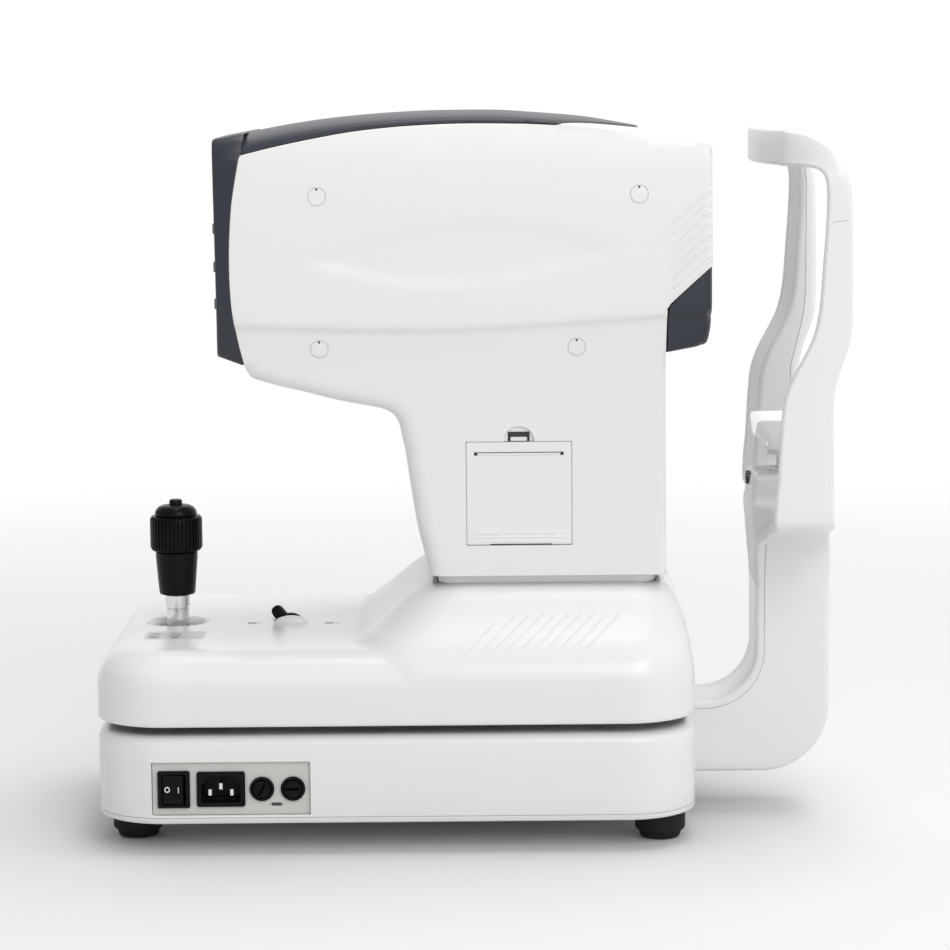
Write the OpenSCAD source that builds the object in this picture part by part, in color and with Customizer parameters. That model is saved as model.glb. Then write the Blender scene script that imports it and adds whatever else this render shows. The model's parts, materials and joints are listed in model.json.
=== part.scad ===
// Desktop autorefractor: base, sliding stage with joystick, lifting head and chin rest.
// +X faces the patient, -X the operator, +Z up. The feet stand on z = 0. All sizes in mm.

/* [Base] */
// length of the base housing along X
base_length = 390; // [370:1:410]
// width of the base housing along Y
base_width = 262; // [250:1:275]
// plan corner radius of base and stage housings
base_corner = 45; // [30:1:60]
// height of the rubber feet
foot_height = 20; // [12:1:24]
// top face of the base housing
base_top = 77; // [70:1:84]
// thickness of the moulded walls
wall = 3; // [2:0.5:4]

/* [Stage] */
// open gap between base and stage housings
stage_gap = 6; // [4:1:8]
// top face of the flat deck round the joystick
deck_z = 130; // [125:1:135]
// top face of the platform under the neck
platform_z = 167; // [160:1:172]
// distance of the joystick from the middle of the base
stick_x = 150; // [140:1:155]

/* [Head] */
// half width of the neck along Y
neck_half = 86; // [80:1:90]
// half width of the head at its widest
head_half = 97; // [92:1:104]
// height of the measuring axis above the table
axis_z = 388; // [380:1:400]
// lowest face of the neck
neck_z = 172.5; // [170:0.5:180]

/* [Chin rest] */
// inner face of each post, from the middle plane
post_in = 92; // [85:1:98]
// outer face of each post, from the middle plane
post_out = 125; // [118:1:130]
// half width of the column under the frame
column_half = 30; // [24:1:36]

/* [Hidden] */
$fn = 48;
seam = 0.3;
run = 0.05;
half_l = base_length / 2;
// the chin cup's far edge, and the middle of the whole object along X
reach = 297.3;
mid_x = (reach - half_l) / 2;
half_w = base_width / 2;
plate_t = 4;
shell_z = foot_height + plate_t;
stage_z = base_top + stage_gap;
deck_round = 25;

// power panel on the near side of the base
panel_x0 = -157;
panel_x1 = -55;
panel_top = 60.4;
panel_y = -half_w + wall;
panel_t = 2.5;
inset_mid_z = 42.5;
switch_x = -142.8;
inlet_x = -112.5;
fuse_x = [-86.1, -66.2];

// cross slide under the stage
gear_m = 1.5;
gear_teeth = 12;
gear_r = gear_m * gear_teeth / 2;
rack_pitch_z = base_top + 7;
axle_z = rack_pitch_z + gear_r;
axle_r = 4;
wheel_y = 72;
rail_x = 60;
rail_z = 108;
rail_r = 4;
chassis_z = 114;
chassis_t = 3;

// joystick
ball_r = 15.7;
stick_z = base_top + 2 + seam + ball_r;
shield_r = 34.4;
dish_r = 20.6;
dish_in = 17.1;

// lock lever
lever_x = -74;
lever_z = 124;
lever_lean = 38;

// lift
lift_x = [50, 150];
lift_y = 25;
lift_r = 5;
screw_x = 100;
screw_r = 4;
sleeve = [28, -78, 170, 78];
sleeve_top = 207;

// printer in the neck
door_x0 = 47;
door_x1 = 115;
door_z0 = 193.3;
door_z1 = 260.4;
roll_z = 235;
roll_y = -52;
platen_y = -74;
platen_z = 252.8;
door_mid = (door_x0 + door_x1) / 2;

// screen side of the head
key_z = [399.7, 375.2, 351.4];
key_y = -78;
screen_face = -116;

// chin rest
chin_x = 264.5;
stem_r = 9;

// ---- shared shapes -------------------------------------------------------------------

function unit(v) = v / norm(v);

// points along an arc, both ends included
function arc(c, r, a0, a1, n = 8) =
    [for (i = [0:n]) c + r * [cos(a0 + (a1 - a0) * i / n), sin(a0 + (a1 - a0) * i / n)]];

// rounded rectangle between two corners, anticlockwise
function rounded(x0, y0, x1, y1, r, n = 8) = concat(
    arc([x1 - r, y0 + r], r, -90, 0, n),
    arc([x1 - r, y1 - r], r, 0, 90, n),
    arc([x0 + r, y1 - r], r, 90, 180, n),
    arc([x0 + r, y0 + r], r, 180, 270, n));

// an anticlockwise outline moved inwards by d
function inset(p, d) =
    [for (i = [0:len(p) - 1])
        let (a = p[(i + len(p) - 1) % len(p)],
             b = p[i],
             c = p[(i + 1) % len(p)],
             u = unit(b - a),
             v = unit(c - b),
             n = [-u.y - v.y, u.x + v.x])
        b + d * n / (1 + u * v)];

// a half outline (y, z) from top to bottom, closed by its mirror image
function both_sides(p) = concat(
    [for (q = p) [-q.x, q.y]],
    [for (i = [len(p) - 1:-1:0]) p[i]]);

// an outline in (x, z) drawn out along Y
module along_y(p, y0, y1) {
    translate([0, y1, 0])
        rotate([90, 0, 0])
            linear_extrude(y1 - y0)
                polygon(p);
}

// an outline in (y, z) drawn out along X
module along_x(p, x0, x1) {
    translate([x0, 0, 0])
        rotate([90, 0, 90])
            linear_extrude(x1 - x0)
                polygon(p);
}

// an outline in (x, y) drawn out along Z
module along_z(p, z0, z1) {
    translate([0, 0, z0])
        linear_extrude(z1 - z0)
            polygon(p);
}

// sub-parts are drawn about the middle of the base and then moved so that the whole
// object is centred on the origin
module centred() {
    translate([-mid_x, 0, 0])
        children();
}

module box(a, b) {
    translate(a)
        cube(b - a);
}

module rod_x(x0, x1, y, z, r) {
    translate([x0, y, z])
        rotate([0, 90, 0])
            cylinder(r = r, h = x1 - x0);
}

module rod_y(y0, y1, x, z, r) {
    translate([x, y1, z])
        rotate([90, 0, 0])
            cylinder(r = r, h = y1 - y0);
}

module rod_z(z0, z1, x, y, r) {
    translate([x, y, z0])
        cylinder(r = r, h = z1 - z0);
}

// ---- base ----------------------------------------------------------------------------

base_outline = rounded(-half_l, -half_w, half_l, half_w, base_corner);

// cross-section of the base housing, with softened top edges
base_section = rounded(-half_w, shell_z - 20, half_w, base_top, 6);
base_profile = rounded(-half_l, shell_z - 20, half_l, base_top, 6);

module base_shell() {
    color("gainsboro")
    centred()
    difference() {
        intersection() {
            along_z(base_outline, shell_z, base_top);
            along_x(base_section, -half_l, half_l);
            along_y(base_profile, -half_w, half_w);
        }
        along_z(inset(base_outline, wall), shell_z - 1, base_top - wall);
        box([panel_x0, -half_w - 1, shell_z - 1], [panel_x1, panel_y + 1, panel_top]);
    }
}

module base_plate() {
    color("lightgray")
    centred()
    difference() {
        along_z(inset(base_outline, 0.4), foot_height, shell_z - seam);
        for (x = [-40:16:40])
            along_z(rounded(x - 3, -60, x + 3, 60, 2.5, 4), foot_height - 1, shell_z);
    }
}

// the operator's pair of feet stands closer together than the patient's pair
feet_at = [[-172, 72], [172, 88]];
foot_r = 16.3;
foot_flange = 14;

module feet() {
    color("black")
    centred()
    for (p = feet_at)
        for (side = [-1, 1])
            translate([p.x, side * p.y, 0])
                rotate_extrude()
                    polygon([
                        [0, 0], [12, 0], [13.2, 1.2], [14, foot_height - foot_flange - 1.8],
                        [foot_r, foot_height - foot_flange], [foot_r, foot_height],
                        [0, foot_height]]);
}

module power_panel() {
    color("whitesmoke")
    centred()
    difference() {
        union() {
            box([panel_x0 + 0.2, panel_y, shell_z + 0.5],
                [panel_x1 - 0.2, panel_y + panel_t, panel_top - 0.2]);
            box([-half_l + base_corner, panel_y, shell_z + 0.5],
                [panel_x1 + 4, panel_y + panel_t, panel_top + 3]);
        }
        box([switch_x - 8.9, panel_y - 1, inset_mid_z - 11.7],
            [switch_x + 8.9, panel_y + 5, inset_mid_z + 11.7]);
        box([inlet_x - 14.1, panel_y - 1, inset_mid_z - 10.1],
            [inlet_x + 14.1, panel_y + 5, inset_mid_z + 10.1]);
        for (x = fuse_x)
            rod_y(panel_y - 1, panel_y + 5, x, inset_mid_z, 6.9);
    }
}

module switch_housing() {
    color("dimgray")
    centred()
    difference() {
        union() {
            box([switch_x - 10.4, panel_y - 2, inset_mid_z - 12.1],
                [switch_x + 10.4, panel_y, inset_mid_z + 12.1]);
            box([switch_x - 8.8, panel_y, inset_mid_z - 11.6],
                [switch_x + 8.8, panel_y + 20, inset_mid_z + 11.6]);
        }
        box([switch_x - 7.9, panel_y - 3, inset_mid_z - 9.9],
            [switch_x + 7.9, panel_y + 14, inset_mid_z + 9.9]);
        rod_z(inset_mid_z - 11, inset_mid_z + 11, switch_x, panel_y + 2, 1.25);
    }
}

module power_rocker() {
    face = [[-6.8, 0], [-6.8, -4.4], [0, -3.1], [6.8, -4.4], [6.8, 0], [3, 4.5], [-3, 4.5]];
    color("black")
    centred()
    translate([switch_x, panel_y + 2, inset_mid_z])
        rotate([0, 0, -10])
            union() {
                translate([0, 0, -9.4])
                    linear_extrude(18.8)
                        polygon(face);
                translate([0, 0, -10.8])
                    cylinder(r = 1.2, h = 21.6);
            }
}

// outline of an appliance inlet cavity: a rectangle with its two upper corners cut off
function inlet_outline(w, h, cut) = [
    [inlet_x - w, inset_mid_z - h], [inlet_x + w, inset_mid_z - h],
    [inlet_x + w, inset_mid_z + h - cut], [inlet_x + w - cut, inset_mid_z + h],
    [inlet_x - w + cut, inset_mid_z + h], [inlet_x - w, inset_mid_z + h - cut]];

module inlet_housing() {
    color("darkslategray")
    centred()
    difference() {
        union() {
            box([inlet_x - 15.6, panel_y - 2, inset_mid_z - 11.5],
                [inlet_x + 15.6, panel_y, inset_mid_z + 11.5]);
            box([inlet_x - 14, panel_y, inset_mid_z - 10],
                [inlet_x + 14, panel_y + 20, inset_mid_z + 10]);
        }
        along_y(inlet_outline(12.3, 8.2, 5), panel_y - 3, panel_y + 15);
    }
}

module inlet_pins() {
    color("goldenrod")
    centred()
    for (p = [[-7, -2], [7, -2], [0, 2]])
        box([inlet_x + p.x - 1, panel_y - 1, inset_mid_z + p.y - 2],
            [inlet_x + p.x + 1, panel_y + 15, inset_mid_z + p.y + 2]);
}

module fuse_holders() {
    color("dimgray")
    centred()
    for (x = fuse_x)
        difference() {
            union() {
                rod_y(panel_y - 2, panel_y, x, inset_mid_z, 7.5);
                rod_y(panel_y, panel_y + 28, x, inset_mid_z, 6.8);
            }
            rod_y(panel_y - 3, panel_y + 25, x, inset_mid_z, 5.85);
        }
}

module fuse_cap(x, turn) {
    translate([x, panel_y, inset_mid_z])
        rotate([90, 0, 0])
            difference() {
                translate([0, 0, -24])
                    cylinder(r = 5.8, h = 27.4);
                rotate([0, 0, turn])
                    translate([-4.5, -0.8, 2])
                        cube([9, 1.6, 2]);
            }
}

module fuse_cap_a() {
    color("black")
    centred()
    fuse_cap(fuse_x[0], 20);
}

module fuse_cap_b() {
    color("black")
    centred()
    fuse_cap(fuse_x[1], 0);
}

module power_supply() {
    color("silver")
    centred()
    union() {
        box([-130, -88, shell_z + seam], [-30, -20, shell_z + 34]);
        for (x = [-126:8:-38])
            box([x, -84, shell_z + 34], [x + 3, -24, shell_z + 40]);
    }
}

// ---- cross slide -------------------------------------------------------------------------

// straight-flanked rack tooth outline in (x, z), centred on x
function rack_tooth(x) = [
    [x - 1.62, rack_pitch_z - 1.9], [x + 1.62, rack_pitch_z - 1.9],
    [x + 0.62, rack_pitch_z + 1], [x - 0.62, rack_pitch_z + 1]];

module racks() {
    pitch = PI * gear_m;
    color("silver")
    centred()
    for (side = [-1, 1])
        union() {
            box([-46, side * wheel_y - 4, base_top], [46, side * wheel_y + 4, rack_pitch_z - 1.8]);
            for (i = [-9:8])
                along_y(rack_tooth((i + 0.5) * pitch), side * wheel_y - 4, side * wheel_y + 4);
        }
}

module friction_pad() {
    color("silver")
    centred()
    along_z(rounded(-stick_x - 32, -64, -stick_x + 32, 64, 8), base_top, base_top + 2);
}

module cross_plate() {
    color("silver")
    centred()
    difference() {
        union() {
            box([-75, -66, 99], [75, 66, 102]);
            for (y = [-66, 58]) {
                box([-9, y, 86.5], [9, y + 8, 99]);
                for (x = [-rail_x, rail_x])
                    box([x - 7, y, 102], [x + 7, y + 8, 113]);
            }
        }
        rod_y(-70, 70, 0, axle_z, axle_r + run);
        for (x = [-rail_x, rail_x])
            rod_y(-70, 70, x, rail_z, rail_r + 0.02);
    }
}

module lateral_rails() {
    color("lightgray")
    centred()
    for (x = [-rail_x, rail_x])
        rod_y(-66, 66, x, rail_z, rail_r);
}

// toothed wheel outline, one tooth pointing straight down
function wheel_outline() = [
    for (i = [0:gear_teeth - 1])
        let (a = -90 + i * 360 / gear_teeth)
        each [
            for (q = [[-13, -1.8], [-8.3, -0.7], [-6.2, 0.1], [-2.9, 1], [2.9, 1], [6.2, 0.1],
                      [8.3, -0.7], [13, -1.8]])
                (gear_r + q.y) * [cos(a + q.x), sin(a + q.x)]
        ]];

module wheel_axle() {
    color("gray")
    centred()
    translate([0, 0, axle_z])
        union() {
            rod_y(-wheel_y - 6, wheel_y + 6, 0, 0, axle_r);
            for (side = [-1, 1])
                along_y(wheel_outline(), side * wheel_y - 3.5, side * wheel_y + 3.5);
        }
}

// ---- stage ---------------------------------------------------------------------------

stage_outline = base_outline;

deck_section = concat(
    [[-half_w, stage_z - 20], [half_w, stage_z - 20]],
    arc([half_w - deck_round, deck_z - deck_round], deck_round, 0, 90),
    arc([-half_w + deck_round, deck_z - deck_round], deck_round, 90, 180));

deck_profile = concat(
    [[half_l, stage_z - 20], [half_l, deck_z]],
    arc([-half_l + deck_round, deck_z - deck_round], deck_round, 90, 180),
    [[-half_l, stage_z - 20]]);

hump_section = both_sides([
    [80, platform_z], [86, platform_z - 1.2], [91, platform_z - 5], [122, 129], [127, 122],
    [half_w, 112], [half_w, stage_z - 20]]);

hump_profile = [
    [-28, stage_z - 20], [half_l, stage_z - 20], [half_l, 104], [194, 118], [192, 131],
    [189, 144], [185, 155], [179, 165], [175, platform_z], [26, platform_z], [19, 165.5],
    [12, 161], [0, 151.5], [-10, 142], [-20, 134.5], [-28, deck_z]];

// the stage housing as a solid, its skin moved inwards by d
module stage_body(d, bottom) {
    intersection() {
        along_z(inset(stage_outline, d), bottom, 200);
        union() {
            intersection() {
                along_x(inset(deck_section, d), -half_l, half_l);
                along_y(inset(deck_profile, d), -half_w, half_w);
            }
            intersection() {
                along_y(inset(hump_profile, d), -half_w, half_w);
                along_x(inset(hump_section, d), -half_l, half_l);
            }
        }
    }
}

module stage_cover() {
    color("gainsboro")
    centred()
    difference() {
        stage_body(0, stage_z);
        stage_body(wall, stage_z - 1);
        along_z(rounded(sleeve[0] - 0.6, sleeve[1] - 0.6, sleeve[2] + 0.6, sleeve[3] + 0.6, 12),
                150, 180);
        rod_z(deck_z - 10, deck_z + 1, -stick_x, 0, dish_r + 0.1);
        box([lever_x - 14, -3, deck_z - 10], [lever_x + 14, 3, deck_z + 1]);
    }
}

module stage_chassis() {
    color("silver")
    centred()
    difference() {
        union() {
            box([-100, -100, chassis_z], [184, 100, chassis_z + chassis_t]);
            for (x = [-rail_x, rail_x])
                box([x - 8, -14, rail_z - 5.5], [x + 8, 14, chassis_z]);
        }
        for (x = [-rail_x, rail_x])
            rod_y(-20, 20, x, rail_z, rail_r + run);
        for (x = lift_x)
            rod_z(chassis_z - 1, chassis_z + 5, x, lift_y, lift_r + 0.02);
        rod_z(chassis_z - 1, chassis_z + 5, screw_x, lift_y, screw_r + run);
        box([lever_x - 9, -5, chassis_z - 1], [lever_x + 9, 5, chassis_z + 5]);
    }
}

module lift_sleeve() {
    base_z = chassis_z + chassis_t;
    color("silver")
    centred()
    difference() {
        along_z(rounded(sleeve[0], sleeve[1], sleeve[2], sleeve[3], 12), base_z, sleeve_top);
        along_z(rounded(sleeve[0] + 2, sleeve[1] + 2, sleeve[2] - 2, sleeve[3] - 2, 10),
                base_z - 1, sleeve_top + 1);
    }
}

module lift_columns() {
    color("lightgray")
    centred()
    for (x = lift_x)
        rod_z(chassis_z, 282, x, lift_y, lift_r);
}

module lift_motor() {
    color("dimgray")
    centred()
    union() {
        box([screw_x - 21, 34, chassis_z + chassis_t], [screw_x + 21, 72, 157]);
        rod_z(157, 165, screw_x, 53, 6);
    }
}

module lead_screw() {
    color("gray")
    centred()
    union() {
        rod_z(chassis_z - 4, 276, screw_x, lift_y, screw_r);
        rod_z(chassis_z + chassis_t + seam, chassis_z + 12, screw_x, lift_y, 8);
    }
}

// shallow bowl round the joystick, open in the middle for its tilt
module joystick_dish() {
    color("whitesmoke")
    centred()
    translate([-stick_x, 0, 0])
        rotate_extrude()
            polygon([
                [dish_in, deck_z - 3.2], [dish_in + 0.1, deck_z - 2.4], [18, deck_z - 1.4],
                [dish_r - 1, deck_z], [dish_r, deck_z], [dish_r, deck_z - 3.2]]);
}

module stick_socket() {
    color("dimgray")
    centred()
    difference() {
        union() {
            rod_z(stick_z - 5, stick_z + 5, -stick_x, 0, 33);
            rod_z(stick_z + 5, deck_z - 8, -stick_x, 0, 33);
        }
        rod_z(stick_z + 5, deck_z + 5, -stick_x, 0, 30.7);
        rod_z(stick_z - 6, stick_z + 6, -stick_x, 0, 22.3);
        rod_x(-stick_x - 25, -stick_x + 25, 0, stick_z, 1.8);
    }
}

module gimbal_ring() {
    color("silver")
    centred()
    translate([-stick_x, 0, stick_z])
        union() {
            difference() {
                translate([0, 0, -3])
                    cylinder(r = 20, h = 6);
                translate([0, 0, -4])
                    cylinder(r = 17, h = 8);
            }
            for (side = [-1, 1]) {
                rod_x(side > 0 ? 19 : -24.6, side > 0 ? 24.6 : -19, 0, 0, 1.75);
                rod_y(side > 0 ? 13.4 : -18, side > 0 ? 18 : -13.4, 0, 0, 1.75);
            }
        }
}

module stick_shaft() {
    color("silver")
    centred()
    translate([-stick_x, 0, 0])
        difference() {
            union() {
                translate([0, 0, stick_z])
                    sphere(r = ball_r);
                rod_z(stick_z, 148.6, 0, 0, 7.8);
                rod_z(139.6, 148.6, 0, 0, 8.5);
            }
            for (side = [-1, 1])
                rod_y(side > 0 ? 13 : -17, side > 0 ? 17 : -13, 0, stick_z, 1.8);
        }
}

module stick_shield() {
    color("whitesmoke")
    centred()
    translate([-stick_x, 0, stick_z])
        rotate_extrude()
            polygon(concat(
                arc([0, 0], shield_r, 90 - 13.2, 90 - 47, 10),
                arc([0, 0], shield_r - 1.6, 90 - 47, 90 - 13.9, 10)));
}

module stick_grip() {
    color("dimgray")
    centred()
    translate([-stick_x, 0, 0])
        rotate_extrude()
            polygon([
                [0, 148.9], [11.4, 148.9], [12.4, 150], [14.2, 174], [14.4, 177.5], [13.6, 178.6],
                [9, 178.6], [9, 202.8], [0, 202.8]]);
}

module lift_ring() {
    ribs = 36;
    color("black")
    centred()
    translate([-stick_x, 0, 0])
        difference() {
            union() {
                along_z(
                    [for (i = [0:ribs * 4 - 1])
                        (17.6 - (i % 4 < 2 ? 0 : 0.8)) *
                        [cos(i * 90 / ribs), sin(i * 90 / ribs)]],
                    181.5, 200.5);
                rod_z(178.9, 181.5, 0, 0, 16.4);
                rod_z(200.5, 202.6, 0, 0, 16.4);
            }
            rod_z(178, 204, 0, 0, 9 + run);
        }
}

module stick_cap() {
    color("dimgray")
    centred()
    translate([-stick_x, 0, 0])
        rotate_extrude()
            polygon(concat(
                [[4.8, 203], [14.2, 203], [14.2, 204.4]],
                arc([9, 204.4], 5.2, 0, 80, 6),
                [[4.8, 210]]));
}

module measure_button() {
    color("black")
    centred()
    rod_z(206.2, 213.6, -stick_x, 0, 4.45);
}

module lock_lever() {
    color("black")
    centred()
    translate([lever_x, 0, lever_z])
        rotate([0, -lever_lean, 0])
            union() {
                rod_y(-2.6, 2.6, 0, 0, 5);
                translate([-3, -2.2, 0])
                    cube([6, 4.4, 15.5]);
                rod_y(-2.2, 2.2, 0, 15.5, 3);
            }
}

// ---- head ----------------------------------------------------------------------------

// cross-section (y, z) of head and neck together
head_section = both_sides([
    [60, 474], [76, 471.5], [84, 466], [88, 456], [91, 440], [95, 400], [head_half, 348],
    [head_half - 1, 340], [90, 318], [87, 304], [neck_half, 292], [neck_half, neck_z - 10]]);

// side outline (x, z) of the white shells, the neck included
head_side = [
    [22, neck_z - 10], [176.3, neck_z - 10], [176.3, 318], [177, 346.4], [179, 350], [206, 375],
    [206, 446], [204.5, 453.2], [191.6, 456], [173, 459], [158, 461], [130, 463], [112, 464],
    [87, 465.3], [50, 465.6], [25, 465], [1, 463.6], [-24, 461], [-48, 457], [-73, 452],
    [-96.6, 446.4], [-99.6, 430], [-102, 414], [-103.4, 394], [-103.8, 378], [-103.4, 360],
    [-102, 344], [-99, 326], [-96.2, 314], [-93, 303.6], [-75.6, 297.6], [-57, 293.1],
    [-38.5, 288.2], [-21.7, 284.8], [-5, 281.6], [2, 276], [4.8, 266], [7, 256], [9.3, 240],
    [15, 204], [19, 190], [21.4, 182]];

fascia_side = [
    [176.9, 317.2], [202.2, 322], [204.6, 330.5], [206, 341], [206, 374.5], [179.3, 349.8],
    [177.2, 346]];

tongue = rounded(-37, 350, 37, 430, 20);

cap_spots = [[-47.2, 420], [159, 420], [-47, 322], [118.7, 322]];
cap_y = 92.2;

// plan of the dark top cover, and of the opening that it closes
top_outline = [[-100, -90], [100, -90], [140, -74], [161, -40], [161, 40], [140, 74],
               [100, 90], [-100, 90]];
top_opening = [[-92, -80], [98, -80], [134, -66], [153, -36], [153, 36], [134, 66], [98, 80],
               [-92, 80]];

// everything cut out of the white shells besides their cavity
module head_openings() {
    box([25, -neck_half + 3, neck_z - 12], [173, neck_half - 3, neck_z + 14]);
    along_z(top_opening, 440, 480);
    box([-110, -80, 320], [-90, 80, 440]);
    along_x(inset(tongue, -seam), 195, 210);
    rod_x(170, 200, 0, axis_z, 30.5);
    box([170, -80, 323], [185, 80, 350]);
    box([door_x0 - seam, -neck_half - 1, door_z0 - seam],
        [door_x1 + seam, -neck_half + 4, door_z1 + 0.1]);
    rod_y(-neck_half - 1, -neck_half + 4, door_mid, door_z1, 10);
    for (p = cap_spots)
        for (side = [-1, 1])
            rod_y(side > 0 ? 88.5 : -100, side > 0 ? 100 : -88.5, p.x, p.y, 5.8);
}

module head_shells() {
    difference() {
        intersection() {
            along_y(head_side, -110, 110);
            along_x(head_section, -110, 210);
            box([-120, -110, neck_z], [220, 110, 480]);
        }
        intersection() {
            along_y(inset(head_side, wall), -110, 110);
            along_x(inset(head_section, wall), -110, 210);
        }
        head_openings();
    }
}

module head_shell_near() {
    color("whitesmoke")
    centred()
    intersection() {
        head_shells();
        box([-120, -110, 150], [220, -0.1, 480]);
    }
}

module head_shell_far() {
    color("whitesmoke")
    centred()
    intersection() {
        head_shells();
        box([-120, 0.1, 150], [220, 110, 480]);
    }
}

top_side = [
    [-96.3, 447], [-73, 452.4], [-48, 457.4], [-24, 461.4], [1, 464], [25, 465.4], [50, 466],
    [87, 465.7], [112, 464.4], [130, 463.4], [157, 461.4], [160, 463], [155, 464.5], [146, 466],
    [133, 467.8], [114, 469.8], [89, 471.8], [71, 472.9], [50, 473.2], [24, 473], [-1, 471.9],
    [-27, 470], [-52, 467.3], [-78, 463.3], [-97.8, 459.4]];

module head_top() {
    color("dimgray")
    centred()
    intersection() {
        along_y(top_side, -90, 90);
        along_x(head_section, -100, 165);
        along_z(top_outline, 440, 480);
    }
}

bezel_side = [
    [screen_face, 320], [-114.2, 316.7], [-97.6, 311.5], [-99.3, 326], [-102.3, 344],
    [-103.7, 360], [-104.1, 378], [-103.7, 394], [-102.3, 414], [-99.9, 430], [-97, 446.4],
    [-98.4, 459.3], [-114.4, 455.6], [-115.7, 453.4], [screen_face, 446]];

module screen_bezel() {
    color("dimgray")
    centred()
    difference() {
        intersection() {
            along_y(bezel_side, -110, 110);
            along_x(rounded(-94, 306, 94, 462, 16), -120, -90);
        }
        box([screen_face + 4, -86, 328], [-90, 86, 444]);
        box([screen_face - 1, -58, 334], [screen_face + 6, 70, 438]);
        for (z = key_z)
            box([screen_face - 1, key_y - 6.3, z - 3.8], [screen_face + 6, key_y + 6.3, z + 3.8]);
    }
}

module screen() {
    color("midnightblue")
    centred()
    union() {
        box([screen_face + 1, -57.7, 334.3], [screen_face + 4, 69.7, 437.7]);
        box([screen_face + 4, -62, 330], [screen_face + 9, 74, 442]);
    }
}

module key(z) {
    union() {
        box([screen_face - 1.2, key_y - 6, z - 3.5], [screen_face + 6, key_y + 6, z + 3.5]);
        box([screen_face + 6, key_y - 7, z - 4.5], [screen_face + 7.5, key_y + 7, z + 4.5]);
    }
}

module key_top() {
    color("gray")
    centred()
    key(key_z[0]);
}

module key_mid() {
    color("gray")
    centred()
    key(key_z[1]);
}

module key_low() {
    color("gray")
    centred()
    key(key_z[2]);
}

module front_fascia() {
    color("dimgray")
    centred()
    difference() {
        union() {
            difference() {
                intersection() {
                    along_y(fascia_side, -110, 110);
                    along_x(head_section, 170, 210);
                }
                box([175, -84, 326], [203, 84, 372]);
            }
            along_x(tongue, 203, 206);
        }
        rod_x(195, 210, 0, axis_z, 27.3);
    }
}

module window_glass() {
    color("lightblue")
    centred()
    rod_x(203.4, 205.4, 0, axis_z, 27);
}

module optics_barrel() {
    color("black")
    centred()
    union() {
        difference() {
            rod_x(96, 198.6, 0, axis_z, 30);
            rod_x(150, 199, 0, axis_z, 26);
        }
        box([40, -34, axis_z - 34], [96, 34, axis_z + 34]);
        for (x = [50, 110])
            box([x, -20, 324], [x + 12, 20, axis_z - 28]);
    }
}

module head_chassis() {
    color("silver")
    centred()
    difference() {
        union() {
            box([38, 12, 222], [162, 38, 242]);
            box([38, 38, 222], [162, 42, 320]);
            box([-70, -60, 320], [166, 60, 324]);
            box([-70, -60, 324], [-66, 60, 400]);
        }
        for (x = lift_x)
            rod_z(221, 243, x, lift_y, lift_r + run);
        rod_z(221, 243, screw_x, lift_y, screw_r + run);
    }
}

module screw_caps() {
    color("lightgray")
    centred()
    for (p = cap_spots)
        for (side = [-1, 1])
            rod_y(side > 0 ? 88.5 : -cap_y, side > 0 ? cap_y : -88.5, p.x, p.y, 5.6);
}

// ---- printer -------------------------------------------------------------------------

module printer_frame() {
    color("dimgray")
    centred()
    difference() {
        box([door_x0 + 1, -79.5, 211], [door_x1 - 1, -26, 268]);
        box([door_x0 + 4, -81, 214], [door_x1 - 4, -29, 260]);
        rod_x(door_x0, door_x1, platen_y, platen_z, 2.05);
        rod_x(door_x0, door_x1, roll_y, roll_z, 2.55);
    }
}

module printer_door() {
    color("gainsboro")
    centred()
    difference() {
        union() {
            box([door_x0, -neck_half, door_z0 + 1.5], [door_x1, -neck_half + 3, door_z1]);
            rod_x(door_x0, door_x1, -neck_half + 1.5, door_z0 + 1.5, 1.5);
            for (i = [0:3])
                box([door_x0 + 6, -neck_half - 0.6, door_z0 + 6 + 2.4 * i],
                    [door_x1 - 6, -neck_half, door_z0 + 7.2 + 2.4 * i]);
        }
        box([door_x0 + 5, -neck_half - 1, 251.7], [door_x1 - 5, -neck_half + 5, 253.9]);
    }
}

module door_latch() {
    color("black")
    centred()
    box([door_mid - 7, -neck_half + 0.6, door_z1 + 0.4], [door_mid + 7, -neck_half + 4.6, 264.4]);
}

module paper_roll() {
    color("white")
    centred()
    union() {
        rod_x(door_mid - 28.5, door_mid + 28.5, roll_y, roll_z, 19);
        rod_x(door_x0 + 2, door_x1 - 2, roll_y, roll_z, 2.5);
    }
}

module platen_roller() {
    color("black")
    centred()
    union() {
        rod_x(door_mid - 28.5, door_mid + 28.5, platen_y, platen_z, 4.5);
        rod_x(door_x0 + 2, door_x1 - 2, platen_y, platen_z, 2);
    }
}

// ---- chin rest -----------------------------------------------------------------------

column_side = concat(
    [[half_l, 29]],
    arc([244, 74], 45, -90, 0, 10),
    [[289, 156], [240, 156]],
    arc([206, 112], 34, 0, -90, 8),
    [[half_l, 78]]);

module chin_column() {
    color("whitesmoke")
    centred()
    difference() {
        intersection() {
            along_y(column_side, -column_half, column_half);
            along_z(rounded(half_l - 20, -column_half, 289, column_half, 9), 20, 156);
        }
        rod_z(64, 180, chin_x, 0, 16.6);
    }
}

// outline (y, z) of the frame from behind: flared foot and the two posts
frame_outline = both_sides([
    [98, 461], [106.5, 456], [114.5, 451], [120.3, 444], [123.6, 435], [post_out, 424],
    [post_out, 225], [post_out - 0.1, 216], [post_out - 0.8, 211], [post_out - 2.6, 208.4],
    [post_out - 6, 206.6], [110, 204.2], [98, 201.8], [84, 199.2], [70, 196.4], [58, 193],
    [48, 189], [40.5, 183.6], [35.5, 176.6], [32.6, 168.6], [30.8, 162], [column_half, 156]]);

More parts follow.
